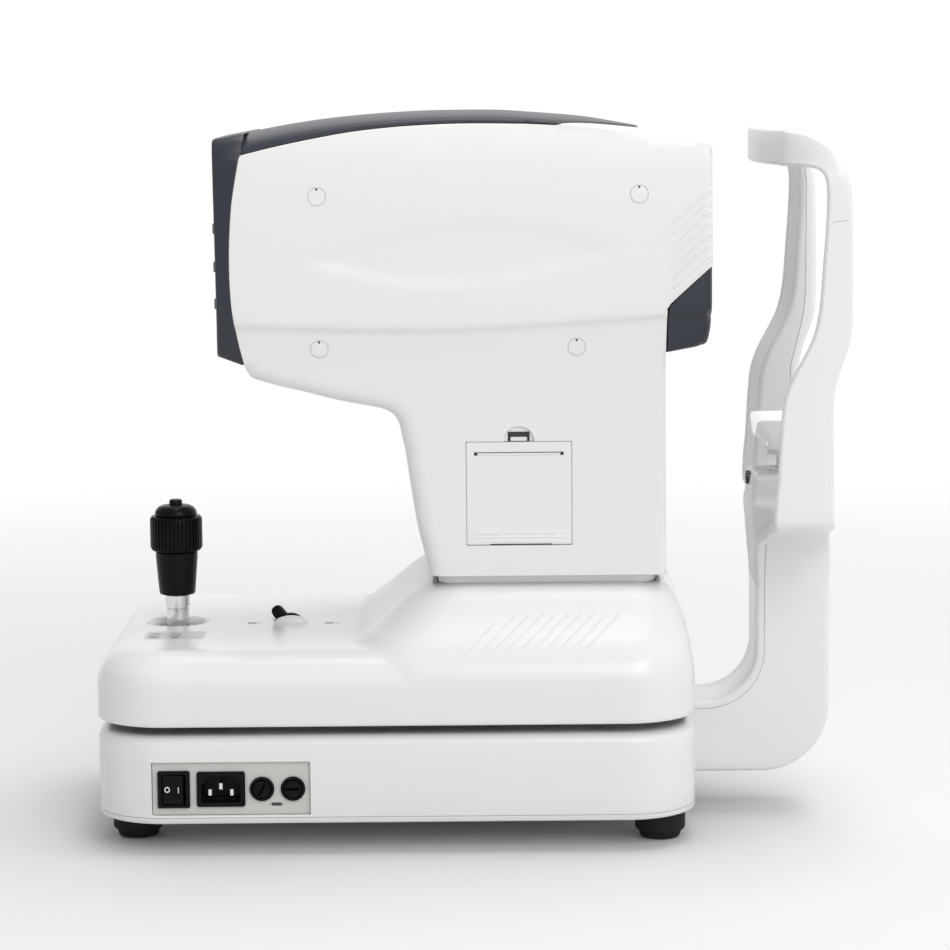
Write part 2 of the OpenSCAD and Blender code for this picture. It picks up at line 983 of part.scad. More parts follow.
// the space between the posts, with the tower of the chin rest standing in the middle
tower_half = 30;
tower_top = 230;
frame_gap = both_sides([
    [post_in, 470], [post_in, 229], [post_in - 0.7, 224], [post_in - 3, 219.3],
    [post_in - 7, 215.6], [post_in - 12, 213.6], [post_in - 17, 213], [tower_half + 5, 213],
    [tower_half + 2, 214], [tower_half, 217], [tower_half, tower_top]]);

front_edge = [
    [240, 156], [239, 172], [240, 180], [242, 192], [243, 226], [245, 240], [246, 271], [247, 284],
    [249, 293], [253, 303.5], [258.5, 312.5], [263.5, 322], [266, 328], [269.7, 341],
    [271, 353], [272, 372], [274, 391], [275, 410], [275.7, 436], [262, 437], [252, 437.5],
    [249.5, 440.5]];

rear_edge = [
    [249.5, 457], [252.5, 461], [263, 460], [273.5, 454], [284.7, 444], [288.7, 435],
    [290.7, 429], [291.7, 416], [292.3, 385], [292.5, 340], [291.3, 328], [289.5, 321.5],
    [287, 315], [285, 309], [283, 302.5], [281.4, 296], [280.8, 290], [281, 258], [281, 213],
    [283, 203], [287, 190], [289, 176], [289, 156]];

// rear limit of the inner cover, from the foot to the tip
parting = [
    [274.5, 156], [274.5, 292], [278, 306], [283.5, 327], [285.5, 345], [286, 428], [282, 437],
    [271, 446], [249.5, 449.5]];

function reversed(p) = [for (i = [len(p) - 1:-1:0]) p[i]];

// thickness of the outer cover's side walls
frame_skin = 5;

module frame_body() {
    difference() {
        intersection() {
            along_y(concat(reversed(rear_edge), reversed(front_edge)), -post_out, post_out);
            along_x(frame_outline, 230, 300);
        }
        along_x(frame_gap, 230, 300);
        rod_z(150, 245, chin_x, 0, stem_r + run);
    }
}

// the room inside the outer cover that the inner cover fills, less a gap all round
module frame_core(gap) {
    core = [for (q = inset(frame_outline, frame_skin + gap)) q + [0, q.y < 170 ? -20 : 30]];
    intersection() {
        along_x(core, 220, 310);
        along_y(concat(
            [for (q = parting) q - [gap, q.y < 160 ? 20 : 0]],
            [[230, 449.5], [230, 136]]), -200, 200);
    }
}

module frame_inner() {
    color("whitesmoke")
    centred()
    intersection() {
        frame_body();
        frame_core(seam);
        box([220, -200, 156], [310, 200, 470]);
    }
}

module frame_outer() {
    color("gainsboro")
    centred()
    difference() {
        frame_body();
        frame_core(0);
    }
}

// an arched strip in plan, its middle at x0 and its ends at x1
function arch(x0, x1, t, ends, n = 12) = concat(
    [for (i = [-n:n]) [x0 + (x1 - x0) * pow(i / n, 2), ends * i / n]],
    [for (i = [n:-1:-n]) [x0 + t + (x1 - x0) * pow(i / n, 2), ends * i / n]]);

module forehead_band() {
    color("whitesmoke")
    centred()
    along_z(reversed(arch(238, 250, 10, 91.9)), 436, 461);
}

module forehead_pad() {
    color("dimgray")
    centred()
    along_z(reversed(arch(248.1, 258, 7, 80)), 438, 459);
}

module chin_motor() {
    color("dimgray")
    centred()
    union() {
        rod_z(64, 100, chin_x, 0, 16);
        rod_z(100, 104, chin_x, 0, 9);
    }
}

module chin_screw() {
    color("gray")
    centred()
    rod_z(104 + seam, 232, chin_x, 0, screw_r);
}

module chin_stem() {
    color("lightgray")
    centred()
    difference() {
        union() {
            rod_z(146, 245.5, chin_x, 0, stem_r);
            rod_z(241.5, 245.5, chin_x, 0, 16);
        }
        rod_z(145, 166, chin_x, 0, screw_r + run);
        rod_z(165, 242, chin_x, 0, 5.2);
    }
}

cup_side = [
    [249, 245.6], [288, 245.6], [297, 250], [reach, 256], [291, 257.5], [286, 269.5],
    [239.4, 269.5], [240, 268], [248.8, 256.7]];
cup_hollow_r = 45;

module chin_cup() {
    color("whitesmoke")
    centred()
    difference() {
        intersection() {
            along_y(cup_side, -36, 36);
            along_z(rounded(238, -36, 298, 36, 16), 240, 275);
        }
        rod_x(230, 300, 0, 255 + cup_hollow_r, cup_hollow_r);
    }
}

base_shell();
base_plate();
feet();
power_panel();
switch_housing();
power_rocker();
inlet_housing();
inlet_pins();
fuse_holders();
fuse_cap_a();
fuse_cap_b();
power_supply();
racks();
friction_pad();
cross_plate();
lateral_rails();
wheel_axle();
stage_cover();
stage_chassis();
lift_sleeve();
lift_columns();
lift_motor();
lead_screw();
joystick_dish();
stick_socket();
gimbal_ring();
stick_shaft();
stick_shield();
stick_grip();
lift_ring();
stick_cap();
measure_button();
lock_lever();
head_shell_near();
head_shell_far();
head_top();
screen_bezel();
screen();
key_top();
key_mid();
key_low();
front_fascia();
window_glass();
optics_barrel();
head_chassis();
screw_caps();
printer_frame();
printer_door();
door_latch();
paper_roll();
platen_roller();
chin_column();
frame_inner();
frame_outer();
forehead_band();
forehead_pad();
chin_motor();
chin_screw();
chin_stem();
chin_cup();
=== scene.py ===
import json
import math

import bmesh
import bpy
import numpy as np
from mathutils import Matrix, Vector
from mathutils.geometry import delaunay_2d_cdt


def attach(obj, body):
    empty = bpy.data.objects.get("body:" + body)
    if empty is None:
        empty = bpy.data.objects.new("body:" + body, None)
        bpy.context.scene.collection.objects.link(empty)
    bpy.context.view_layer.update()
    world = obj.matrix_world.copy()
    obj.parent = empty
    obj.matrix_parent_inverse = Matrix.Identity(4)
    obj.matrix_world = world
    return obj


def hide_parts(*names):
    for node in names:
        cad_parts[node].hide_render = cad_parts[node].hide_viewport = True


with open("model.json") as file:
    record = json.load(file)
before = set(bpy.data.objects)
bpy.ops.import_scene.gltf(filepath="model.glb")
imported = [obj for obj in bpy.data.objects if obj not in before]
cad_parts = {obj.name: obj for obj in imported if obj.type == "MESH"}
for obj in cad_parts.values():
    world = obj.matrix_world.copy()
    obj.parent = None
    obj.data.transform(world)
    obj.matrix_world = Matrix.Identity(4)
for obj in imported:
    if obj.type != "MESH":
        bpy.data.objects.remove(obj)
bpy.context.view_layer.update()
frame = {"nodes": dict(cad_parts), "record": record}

# Everything below is in millimetres about the middle of the base, and place() turns it into
# the frame's metres.
MID_X = 51.15
RAD = math.pi / 180


def place(points):
    """Millimetres about the middle of the base, as metres in the frame."""
    p = np.asarray(points, float).reshape(-1, 3)
    return (p - [MID_X, 0, 0]) / 1000


# ---- camera and light ----------------------------------------------------------------

CAMERA_AT = [52.5, -2130, 501]
CAMERA_PITCH = 7.3
CAMERA_ROLL = 0.5
LENS = 120.5
SKY_LEFT = 0.42
SKY_RIGHT = 0.74
KEY_POWER = 35
TOP_POWER = 38


def make_camera():
    """A long lens a little above the object, looking slightly down at its near side."""
    pitch = CAMERA_PITCH * RAD
    roll = CAMERA_ROLL * RAD
    ahead = Vector((0, math.cos(pitch), -math.sin(pitch)))
    level = Vector((1, 0, 0))
    up0 = level.cross(ahead)
    right = level * math.cos(roll) - up0 * math.sin(roll)
    up = up0 * math.cos(roll) + level * math.sin(roll)
    camera = bpy.data.objects.new("camera", bpy.data.cameras.new("camera"))
    camera.data.lens = LENS
    camera.data.sensor_width = 36
    axes = Matrix((right, up, -ahead)).transposed()
    camera.matrix_world = Matrix.Translation(place(CAMERA_AT)[0]) @ axes.to_4x4()
    camera.data.clip_start = 0.1
    camera.data.clip_end = 100
    bpy.context.scene.collection.objects.link(camera)
    bpy.context.scene.camera = camera


def area_light(name, at, target, size, power):
    """A rectangular lamp at one point, aimed at another; both in metres."""
    data = bpy.data.lights.new(name, "AREA")
    data.shape = "RECTANGLE"
    data.size = size[0]
    data.size_y = size[1]
    data.energy = power
    lamp = bpy.data.objects.new(name, data)
    lamp.location = at
    aim = Vector(target) - Vector(at)
    lamp.rotation_euler = aim.to_track_quat("-Z", "Y").to_euler()
    bpy.context.scene.collection.objects.link(lamp)


def make_sky():
    """A soft white tent: brightest behind the object, dimmer on the operator's side."""
    world = bpy.data.worlds.new("studio")
    bpy.context.scene.world = world
    world.use_nodes = True
    tree = world.node_tree
    nodes, link = tree.nodes, tree.links.new
    where = nodes.new("ShaderNodeTexCoord")
    axes = nodes.new("ShaderNodeSeparateXYZ")
    link(where.outputs["Generated"], axes.inputs[0])

    def scaled(axis, low, high, dark, bright):
        ramp = nodes.new("ShaderNodeMapRange")
        ramp.interpolation_type = "SMOOTHSTEP"
        for key, value in (("From Min", low), ("From Max", high), ("To Min", dark),
                           ("To Max", bright)):
            ramp.inputs[key].default_value = value
        link(axes.outputs[axis], ramp.inputs["Value"])
        return ramp.outputs["Result"]

    def total(a, b):
        node = nodes.new("ShaderNodeMath")
        link(a, node.inputs[0])
        link(b, node.inputs[1])
        return node.outputs[0]

    behind = scaled("Y", 0.55, 0.95, 0.0, 0.5)
    side = scaled("X", -1.0, 1.0, SKY_LEFT, SKY_RIGHT)
    above = scaled("Z", -1.0, 1.0, -0.06, 0.10)
    nodes["Background"].inputs["Color"].default_value = (1, 1, 1, 1)
    link(total(total(behind, side), above), nodes["Background"].inputs["Strength"])


def pale_floor():
    """Matt pale grey under the object, fading to the studio's white a metre or so away."""
    paint = material("floor", (0.68, 0.68, 0.68), 0.8)
    tree = paint.node_tree
    nodes, link = tree.nodes, tree.links.new
    matt = nodes["Principled BSDF"]
    glow = nodes.new("ShaderNodeEmission")
    glow.inputs["Color"].default_value = (1, 1, 1, 1)
    glow.inputs["Strength"].default_value = 1.02
    where = nodes.new("ShaderNodeNewGeometry")
    far = nodes.new("ShaderNodeVectorMath")
    far.operation = "LENGTH"
    link(where.outputs["Position"], far.inputs[0])
    ramp = nodes.new("ShaderNodeMapRange")
    ramp.interpolation_type = "SMOOTHSTEP"
    ramp.inputs["From Min"].default_value = 0.35
    ramp.inputs["From Max"].default_value = 2.0
    link(far.outputs["Value"], ramp.inputs["Value"])
    mix = nodes.new("ShaderNodeMixShader")
    link(ramp.outputs["Result"], mix.inputs["Fac"])
    link(matt.outputs["BSDF"], mix.inputs[1])
    link(glow.outputs["Emission"], mix.inputs[2])
    link(mix.outputs["Shader"], nodes["Material Output"].inputs["Surface"])
    return paint


def make_studio():
    """The sky, two lamps and the floor."""
    make_sky()
    area_light("key", (1.0, -2.6, 1.85), (0, 0, 0.25), (1.7, 1.7), KEY_POWER)
    area_light("top", (0.5, 0.2, 2.6), (0, 0, 0.2), (1.6, 1.6), TOP_POWER)
    bpy.ops.mesh.primitive_plane_add(size=80, location=(0, 0, -0.0005))
    floor = bpy.context.object
    floor.name = "floor"
    floor.data.materials.append(pale_floor())
    scene = bpy.context.scene
    scene.view_settings.view_transform = "Standard"
    scene.view_settings.look = "None"


# ---- materials -----------------------------------------------------------------------

GRAIN_SCALE = 900


def material(name, color, rough, metal=0.0, coat=0.0, grain=0.0, **more):
    """A principled material; grain is a fine moulded texture's bump strength."""
    m = bpy.data.materials.get(name)
    if m:
        return m
    m = bpy.data.materials.new(name)
    m.use_nodes = True
    tree = m.node_tree
    bsdf = tree.nodes["Principled BSDF"]
    bsdf.inputs["Base Color"].default_value = (*color, 1)
    bsdf.inputs["Roughness"].default_value = rough
    bsdf.inputs["Metallic"].default_value = metal
    bsdf.inputs["Coat Weight"].default_value = coat
    for key, value in more.items():
        bsdf.inputs[key.replace("_", " ")].default_value = value
    if grain:
        where = tree.nodes.new("ShaderNodeTexCoord")
        noise = tree.nodes.new("ShaderNodeTexNoise")
        bump = tree.nodes.new("ShaderNodeBump")
        noise.inputs["Scale"].default_value = GRAIN_SCALE
        noise.inputs["Detail"].default_value = 2
        bump.inputs["Strength"].default_value = grain
        bump.inputs["Distance"].default_value = 0.0002
        tree.links.new(where.outputs["Object"], noise.inputs["Vector"])
        tree.links.new(noise.outputs["Fac"], bump.inputs["Height"])
        tree.links.new(bump.outputs["Normal"], bsdf.inputs["Normal"])
    return m


def white():
    return material("white_plastic", (0.74, 0.74, 0.73), 0.24, grain=0.04)


def grey_white():
    return material("grey_white_plastic", (0.70, 0.705, 0.69), 0.3, grain=0.04)


def slate():
    return material("slate_plastic", (0.028, 0.032, 0.043), 0.4, grain=0.05,
                    Specular_IOR_Level=0.32)


def black():
    return material("black_plastic", (0.006, 0.006, 0.006), 0.35, Specular_IOR_Level=0.2)


def rubber():
    return material("black_rubber", (0.012, 0.012, 0.012), 0.7, Specular_IOR_Level=0.25)


def steel():
    return material("steel", (0.56, 0.57, 0.58), 0.32, metal=1)


# painted reflection: the steel's colour is set dark to stand in for the dark room it mirrors; its
# warm tint is the metal's own
def chrome():
    return material("chrome", (0.24, 0.225, 0.2), 0.12, metal=1)


def aluminium():
    return material("aluminium", (0.60, 0.61, 0.62), 0.45, metal=1)


def brass():
    return material("pin_metal", (0.78, 0.77, 0.74), 0.3, metal=1)


def paper():
    return material("paper", (0.86, 0.85, 0.82), 0.9)


def glass():
    return material("window", (0.05, 0.06, 0.08), 0.08, coat=0.5)


def screen():
    return material("screen", (0.012, 0.015, 0.02), 0.12, coat=0.4)


def silicone():
    return material("silicone", (0.45, 0.46, 0.47), 0.55, grain=0.08)


def gloss_black():
    return material("gloss_black", (0.003, 0.003, 0.003), 0.3, Specular_IOR_Level=0.13)


# painted shade: a darker copy of the white plastic, standing in for the shade on the frame's front
# moulding
def shaded_white():
    return material("shaded_white_plastic", (0.66, 0.665, 0.665), 0.4, grain=0.04)


def label_grey():
    return material("label_grey", (0.60, 0.61, 0.61), 0.4)


def line_grey():
    return material("line_grey", (0.40, 0.40, 0.39), 0.5)


def mark_grey():
    return material("mark_grey", (0.045, 0.046, 0.05), 0.5)


def key_grey():
    return material("key_plastic", (0.16, 0.17, 0.19), 0.5)


def power_grey():
    return material("power_panel", (0.55, 0.55, 0.53), 0.4)


SLOTS = {
    "shell_white": white, "shell_grey": grey_white, "dark_plastic": slate,
    "black_plastic": black, "light_plastic": power_grey, "painted_steel": grey_white,
    "rubber_black": rubber, "steel": steel, "chrome": chrome, "aluminium": aluminium,
    "brass": brass, "glass": glass, "screen_glass": screen, "pad_silicone": silicone,
    "paper": paper,
}


def smooth_shade(mesh, sharp):
    """Smooth shading, but for edges sharper than the given angle."""
    for face in mesh.polygons:
        face.use_smooth = True
    mesh.set_sharp_from_angle(angle=sharp * RAD)


def finish_cad():
    """Gives each CAD node its slot's finish and smooth shading."""
    slots = {s["node"]: s["material_slot"] for s in frame["record"]["subparts"]}
    for name, node in frame["nodes"].items():
        node.data.materials.clear()
        node.data.materials.append(SLOTS[slots[name]]())
        smooth_shade(node.data, 35)


# ---- surfaces ------------------------------------------------------------------------

def between(a, b, c, d, t):
    """A point on the smooth line from b to c, given their neighbours a and d."""
    return 0.5 * (2 * b + (c - a) * t + (2 * a - 5 * b + 4 * c - d) * t ** 2
                  + (3 * b - a - 3 * c + d) * t ** 3)


def curve(points, step=2.0, straight=False):
    """Points about step apart along a smooth line, or a polyline, through the given ones."""
    p = np.asarray(points, float)
    if len(p) == 2:
        straight = True
    ends = np.vstack([2 * p[0] - p[1], p, 2 * p[-1] - p[-2]])
    line = [p[0]]
    for i in range(len(p) - 1):
        a, b, c, d = ends[i:i + 4]
        count = max(1, int(round(np.linalg.norm(c - b) / step)))
        for k in range(1, count + 1):
            t = k / count
            line.append(b + (c - b) * t if straight else between(a, b, c, d, t))
    return np.array(line)


def table(points):
    """A smooth function of the first coordinate through the given points."""
    line = curve(points, 1.0)
    return lambda x: np.interp(x, line[:, 0], line[:, 1])


def smooth(t):
    """Rises softly from 0 to 1 as t does."""
    t = np.clip(t, 0, 1)
    return t * t * (3 - 2 * t)


def distance(points, line, closed=False):
    """How far each point is from a polyline."""
    a = line
    b = np.roll(line, -1, axis=0)
    if not closed:
        a, b = line[:-1], line[1:]
    best = np.full(len(points), 1e9)
    for s in range(0, len(a), 64):
        p0 = a[None, s:s + 64]
        along = b[None, s:s + 64] - p0
        size = np.maximum((along ** 2).sum(2), 1e-12)
        offset = points[:, None] - p0
        t = np.clip((offset * along).sum(2) / size, 0, 1)
        gap = np.linalg.norm(offset - along * t[..., None], axis=2).min(1)
        best = np.minimum(best, gap)
    return best


def inside(points, loop):
    """Which of the points lie inside a closed loop."""
    a = loop
    b = np.roll(loop, -1, axis=0)
    found = np.zeros(len(points), bool)
    for (x0, y0), (x1, y1) in zip(a, b):
        crosses = (y0 > points[:, 1]) != (y1 > points[:, 1])
        if y1 != y0:
            found ^= crosses & (points[:, 0] < (x1 - x0) * (points[:, 1] - y0) / (y1 - y0) + x0)
    return found


def circle(x, y, r, n=32):
    """A closed loop of n points round a circle."""
    return bow(x, y, r, np.arange(n) * 2 * math.pi / n)


def rounded_rectangle(x0, y0, x1, y1, r, n=8):
    """A closed loop with n sides in each rounded corner."""
    a = np.linspace(0, 90, n + 1) * RAD
    quarter = np.stack([np.cos(a), np.sin(a)], 1) * r
    turn = np.array([[0, 1], [-1, 0]])
    corners = [(x1 - r, y1 - r), (x0 + r, y1 - r), (x0 + r, y0 + r), (x1 - r, y0 + r)]
    loop = []
    for i, c in enumerate(corners):
        loop.append(quarter @ np.linalg.matrix_power(turn, i) + c)
    return np.vstack(loop)


def closed(loop):
    """A loop with its first point again at its end."""
    return np.vstack([loop, loop[:1]])


def refine(loop, step=2.0):
    """A closed loop with no side longer than step."""
    return curve(closed(loop), step, straight=True)[:-1]


def bow(x, y, r, angles):
    """Points on a circle at the given angles."""
    return np.stack([x + r * np.cos(angles), y + r * np.sin(angles)], 1)


def heading(line):
    """The unit direction of a line at each of its points."""
    ahead = np.gradient(line, axis=0)
    return ahead / np.maximum(np.linalg.norm(ahead, axis=1)[:, None], 1e-9)


def turned_left(ahead):
    """Flat directions turned a quarter to the left."""
    return np.stack([-ahead[:, 1], ahead[:, 0]], 1)


def facing(loop, y):
    """A flat loop of (x, z) stood up at depth y."""
    return np.column_stack([loop[:, 0], 0 * loop[:, 0] + y, loop[:, 1]])


def upright(x0, z0, x1, z1, y):
    """The corners of a rectangle standing at depth y."""
    return [[x0, y, z0], [x1, y, z0], [x1, y, z1], [x0, y, z1]]


def lying(loop, z):
    """A flat loop of (x, y) laid at height z."""
    return np.column_stack([loop, 0 * loop[:, 0] + z])


class Patch:
    """A surface standing over a flat region as a height, with its edges rounded over.

    sides is a list of (points, radius, curved) that join into an anticlockwise loop;
    holes is a list of (loop, radius)."""

    def __init__(self, sides, height, holes=(), step=5.0, extra=()):
        self.height = height
        self.lines = [curve(p, 2.0, straight=not bent) for p, r, bent in sides]
        self.radii = [r for p, r, bent in sides]
        self.loop = np.vstack([line[:-1] for line in self.lines])
        self.holes = [(np.asarray(h, float), r) for h, r in holes]
        self.points, self.faces = self.fill(step, extra)

    def lift(self, flat):
        """The height over each flat point, edges rounded."""
        flat = np.asarray(flat, float)
        high = np.array(self.height(flat[:, 0], flat[:, 1]), float)
        for line, r in zip(self.lines, self.radii):
            if r:
                high -= self.drop(distance(flat, line), r)
        for hole, r in self.holes:
            if r:
                high -= self.drop(distance(flat, hole, closed=True), r)
        return high

    def drop(self, d, r):
        """How far a rounded edge has fallen at distance d inside it."""
        d = np.clip(d, 0, r)
        return r - np.sqrt(np.maximum(r * r - (r - d) ** 2, 0))

    def rings(self, line, r, sign=1):
        """Rows of points inside a rounded edge, closer together near it."""
        normal = turned_left(heading(line)) * sign
        angles = range(30, 91, 30) if r < 2 else range(15, 91, 15)
        depths = [r * (1 - math.cos(a * RAD)) for a in angles]
        return [(line + normal * d, d) for d in depths]

    def fill(self, step, extra):
        """Triangles over the region, with points along its edges and on an even grid."""
        loops = [self.loop] + [h for h, r in self.holes]
        fixed = np.vstack(loops)
        edges, start = [], 0
        for loop in loops:
            n = len(loop)
            edges += [(start + i, start + (i + 1) % n) for i in range(n)]
            start += n
        loose = []
        for line, r in zip(self.lines, self.radii):
            if r:
                loose += self.rings(line, r)
        for hole, r in self.holes:
            if r:
                loose += self.rings(closed(hole), r, sign=-1)
        loose += [(np.asarray(e, float), 0.5) for e in extra]
        lo, hi = self.loop.min(0), self.loop.max(0)
        xs = np.arange(lo[0], hi[0], step)
        ys = np.arange(lo[1], hi[1], step * 0.866)
        grid = np.array([(x + (j % 2) * step / 2, y) for j, y in enumerate(ys) for x in xs])
        loose.append((grid, step * 0.6))
        kept = [fixed]
        taken = {}

        def cell(p):
            return int(p[0] // 1.0), int(p[1] // 1.0)

        for p in fixed:
            taken.setdefault(cell(p), []).append(p)
        for points, least in loose:
            points = points[inside(points, self.loop)]
            for h, r in self.holes:
                points = points[~inside(points, h)]
            if not len(points):
                continue
            near = np.min([distance(points, loop, closed=True) for loop in loops], axis=0)
            points = points[near > least * 0.9]
            fresh = []
            gap = min(0.8, max(0.12, least * 0.6))
            for p in points:
                cx, cy = cell(p)
                around = [q for i in (-1, 0, 1) for j in (-1, 0, 1)
                          for q in taken.get((cx + i, cy + j), ())]
                if all((p[0] - q[0]) ** 2 + (p[1] - q[1]) ** 2 >= gap * gap for q in around):
                    fresh.append(p)
                    taken.setdefault((cx, cy), []).append(p)
            if fresh:
                kept.append(np.array(fresh))
        flat = np.vstack(kept)
        out, _, faces, *_ = delaunay_2d_cdt([Vector(p) for p in flat], edges, [], 0, 1e-4)
        flat = np.array([tuple(v) for v in out])
        middles = np.array([flat[list(f)].mean(0) for f in faces])
        keep = inside(middles, self.loop)
        for h, r in self.holes:
            keep &= ~inside(middles, h)
        faces = [list(f) for f, k in zip(faces, keep) if k]
        return np.column_stack([flat, self.lift(flat)]), faces

    def edge(self, index):
        """The rounded edge's own line: flat points with their heights."""
        line = self.lines[index]
        return np.column_stack([line, self.lift(line)])

    def rim(self, index):
        """The line round one of the holes, with its heights."""
        hole = self.holes[index][0]
        loop = closed(hole)
        return np.column_stack([loop, self.lift(loop)])


def plate(loop, r, height, holes=(), step=5.0, extra=()):
    """A patch inside one closed loop, its whole edge rounded by r."""
    return Patch([(closed(loop), r, False)], height, holes, step, extra)


# points nearer than this, in metres, become one
WELD = 0.02 / 1000


class Skin:
    """A mesh gathered from patches and strips, welded where they meet."""

    def __init__(self):
        self.points = []
        self.faces = []
        self.count = 0

    def add(self, points, faces):
        """Adds points, and faces given as lists of their numbers."""
        points = np.asarray(points, float)
        self.faces += [[i + self.count for i in f] for f in faces]
        self.points.append(points)
        self.count += len(points)

    def rows(self, rows):
        """A sheet through successive lines of equally many points."""
        rows = [np.asarray(r, float) for r in rows]
        n = len(rows[0])
        faces = []
        for j in range(len(rows) - 1):
            for a in range(j * n, j * n + n - 1):
                faces.append([a, a + 1, a + 1 + n, a + n])
        self.add(np.vstack(rows), faces)

    def cap(self, loop):
        """A flat or gently domed face across a closed loop."""
        loop = np.asarray(loop, float)
        n = len(loop)
        self.add(np.vstack([loop, loop.mean(0)]), [[i, (i + 1) % n, n] for i in range(n)])

    def quad(self, corners):
        self.add(corners, [[0, 1, 2, 3]])

    def lay(self, patch, turn=np.asarray):
        self.add(turn(patch.points), patch.faces)

    def wells(self, patch, depth, turn=np.asarray):
        """Walls that go down by depth from the rims of a patch's holes."""
        for i in range(len(patch.holes)):
            rim = turn(patch.rim(i))
            self.rows([rim, rim + depth])

    def hem(self, patch, sides, fold, turn=np.asarray):
        """Walls from some of a patch's sides to where fold takes them."""
        for i in sides:
            line = turn(patch.edge(i))
            self.rows([line, fold(line)])

    def build(self, name, finish, slot, body, replaced=(), sharp=32):
        """Makes the piece, welded and smooth, and gives it its finish, body and CAD nodes; the slot
        it is given is not used.
        """
        mesh = bpy.data.meshes.new(name)
        points = place(np.vstack(self.points))
        mesh.from_pydata([tuple(p) for p in points], [], self.faces)
        bm = bmesh.new()
        bm.from_mesh(mesh)
        bmesh.ops.remove_doubles(bm, verts=bm.verts, dist=WELD)
        bmesh.ops.dissolve_degenerate(bm, edges=bm.edges, dist=1e-6)
        bmesh.ops.recalc_face_normals(bm, faces=bm.faces)
        bm.to_mesh(mesh)
        bm.free()
        smooth_shade(mesh, sharp)
        mesh.materials.append(finish)
        piece = bpy.data.objects.new(name, mesh)
        bpy.context.scene.collection.objects.link(piece)
        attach(piece, body)
        if replaced:
            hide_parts(*replaced)
        return piece


def to_middle(line):
    """The line moved onto the object's middle plane."""
    return line * [1, 0, 1]


def moved(x, y, z):
    """A fold that moves a line by the given amounts."""
    return lambda line: line + [x, y, z]


def along_y(side):
    """Turns (x, z, height) into a point on the near (-1) or far (1) side."""
    return lambda p: np.column_stack([p[:, 0], side * p[:, 2], p[:, 1]])


def along_x(side):
    """Turns (y, z, height) into a point facing the operator (-1) or the patient (1)."""
    return lambda p: np.column_stack([side * p[:, 2], p[:, 0], p[:, 1]])


def rib(skin, line, normal, half, height):
    """A soft raised bar along a line of points on a surface, fading out at its ends."""
    line, normal = np.asarray(line, float), np.asarray(normal, float)
    along = np.gradient(line, axis=0)
    across = np.cross(along, normal)
    across /= np.linalg.norm(across, axis=1)[:, None]
    normal = normal / np.linalg.norm(normal, axis=1)[:, None]
    t = np.linspace(0, 1, len(line))
    fade = smooth(np.minimum(t, 1 - t) * 8)[:, None]
    rows = []
    for u, v in ((-1, -0.15), (-0.7, 0.35), (-0.3, 0.9), (0.3, 0.9), (0.7, 0.35), (1, -0.15)):
        rise = v * height * fade - (1 - fade) * 0.1
        rows.append(line + across * u * half + normal * rise)
    skin.rows(rows)


# ---- head ----------------------------------------------------------------------------

# height of the crease under the head's bulge along x, and the half width by the height above it
CREASE = table([(-112, 341), (-94, 339.9), (-38, 337.6), (15.5, 336.6), (52, 337.2), (106, 340),
                (172, 344.3), (208, 347)])
BULGE = table([(-180, 86), (-60, 86), (-48, 86.1), (-34, 87), (-20, 89.2), (-9, 92), (-5, 93.3),
               (-2, 95.8), (0, 96.8), (4, 97.2), (14, 97.2), (32, 96.6), (60, 95), (85, 92.8),
               (100, 91), (112, 88.8), (120, 86.8), (130, 83.5), (142, 78)])
# the hollow in the head's side: its middle, half length and half height, and tilt
LENS_MID = (44.5, 383)
LENS_HALF = (110, 25)
LENS_TILT = 2.3 * RAD
RIDGE_PITCH = 6.94
# the printer door: x and z of one lower corner, then of the opposite upper one
DOOR = (47, 193.3, 115, 260.4)
DOOR_MID = (DOOR[0] + DOOR[2]) / 2
DOOR_RIDGES = (195.8, 198.4, 201.0)
NECK_Z = 172.5
# where the round screw caps are, and their radius
CAPS = [(-47.2, 420), (159, 420), (-47, 322), (118.7, 322)]
CAP_R = 5.6
MOON_R = 10

# side view of a white half shell, (x, z): its edge under the dark lid, along the bezel, and
# down under the head and along the neck
SEAM_TOP = [(87, 465.1), (50, 465.6), (25, 465), (1, 463.6), (-24, 461), (-48, 457), (-73, 452),
            (-96.6, 446.4)]
SEAM_LEFT = [(-96.6, 446.4), (-99.6, 430), (-102, 414), (-103.4, 394), (-103.8, 378),
             (-103.4, 360), (-102, 344), (-99, 326), (-96.2, 314), (-93.4, 305)]
UNDERSIDE = [(-93.4, 305), (-91, 302.4), (-75.6, 297.6), (-57, 293.1), (-38.5, 288.2),
             (-21.7, 284.8), (-8, 282), (-0.5, 278.3), (3.4, 272), (5.2, 264), (7, 256),
             (9.3, 240), (12, 222), (15, 204), (18.4, 190), (21.4, 177), (21.8, NECK_Z)]
# where the shell turns over at the patient's end, and the middle line of the roof above it
SHOULDER = [(206, 446.4), (205.8, 449.2), (204.6, 451.2), (202, 452), (190, 453.6), (173, 456),
            (158, 458.3), (130, 461.7), (108, 463.9), (87, 465.1)]
ROOF = [(206, 450.2), (205.8, 452.4), (204.6, 453.8), (202, 454.6), (190, 456.6), (173, 459.3),
        (158, 461.7), (130, 466.7), (108, 469), (87, 470.7)]
# height of the lid's middle line, and half the lid's width towards the patient's end
ROOF_Z = table([(-100, 457.6), (-98, 458.2), (-78, 462.2), (-52, 466.2), (-27, 468.9),
                (-1, 470.8), (24, 471.9), (50, 472.1), (71, 471.8), (89, 470.6)])
COVER_HALF = table([(80, 99), (87, 92), (100, 88), (118, 82), (138, 71), (152, 54), (160, 32),
                    (163.5, 0.5)])
# the lid stands this far proud of the shells
COVER_RISE = 1.1
# below this height the shell's end is closed by a wall under the bezel
LIP_TOP = 322
FRONT_X = 206
# the front's tongue: half width, top, corner radius
TONGUE = (37.3, 430.3, 20)


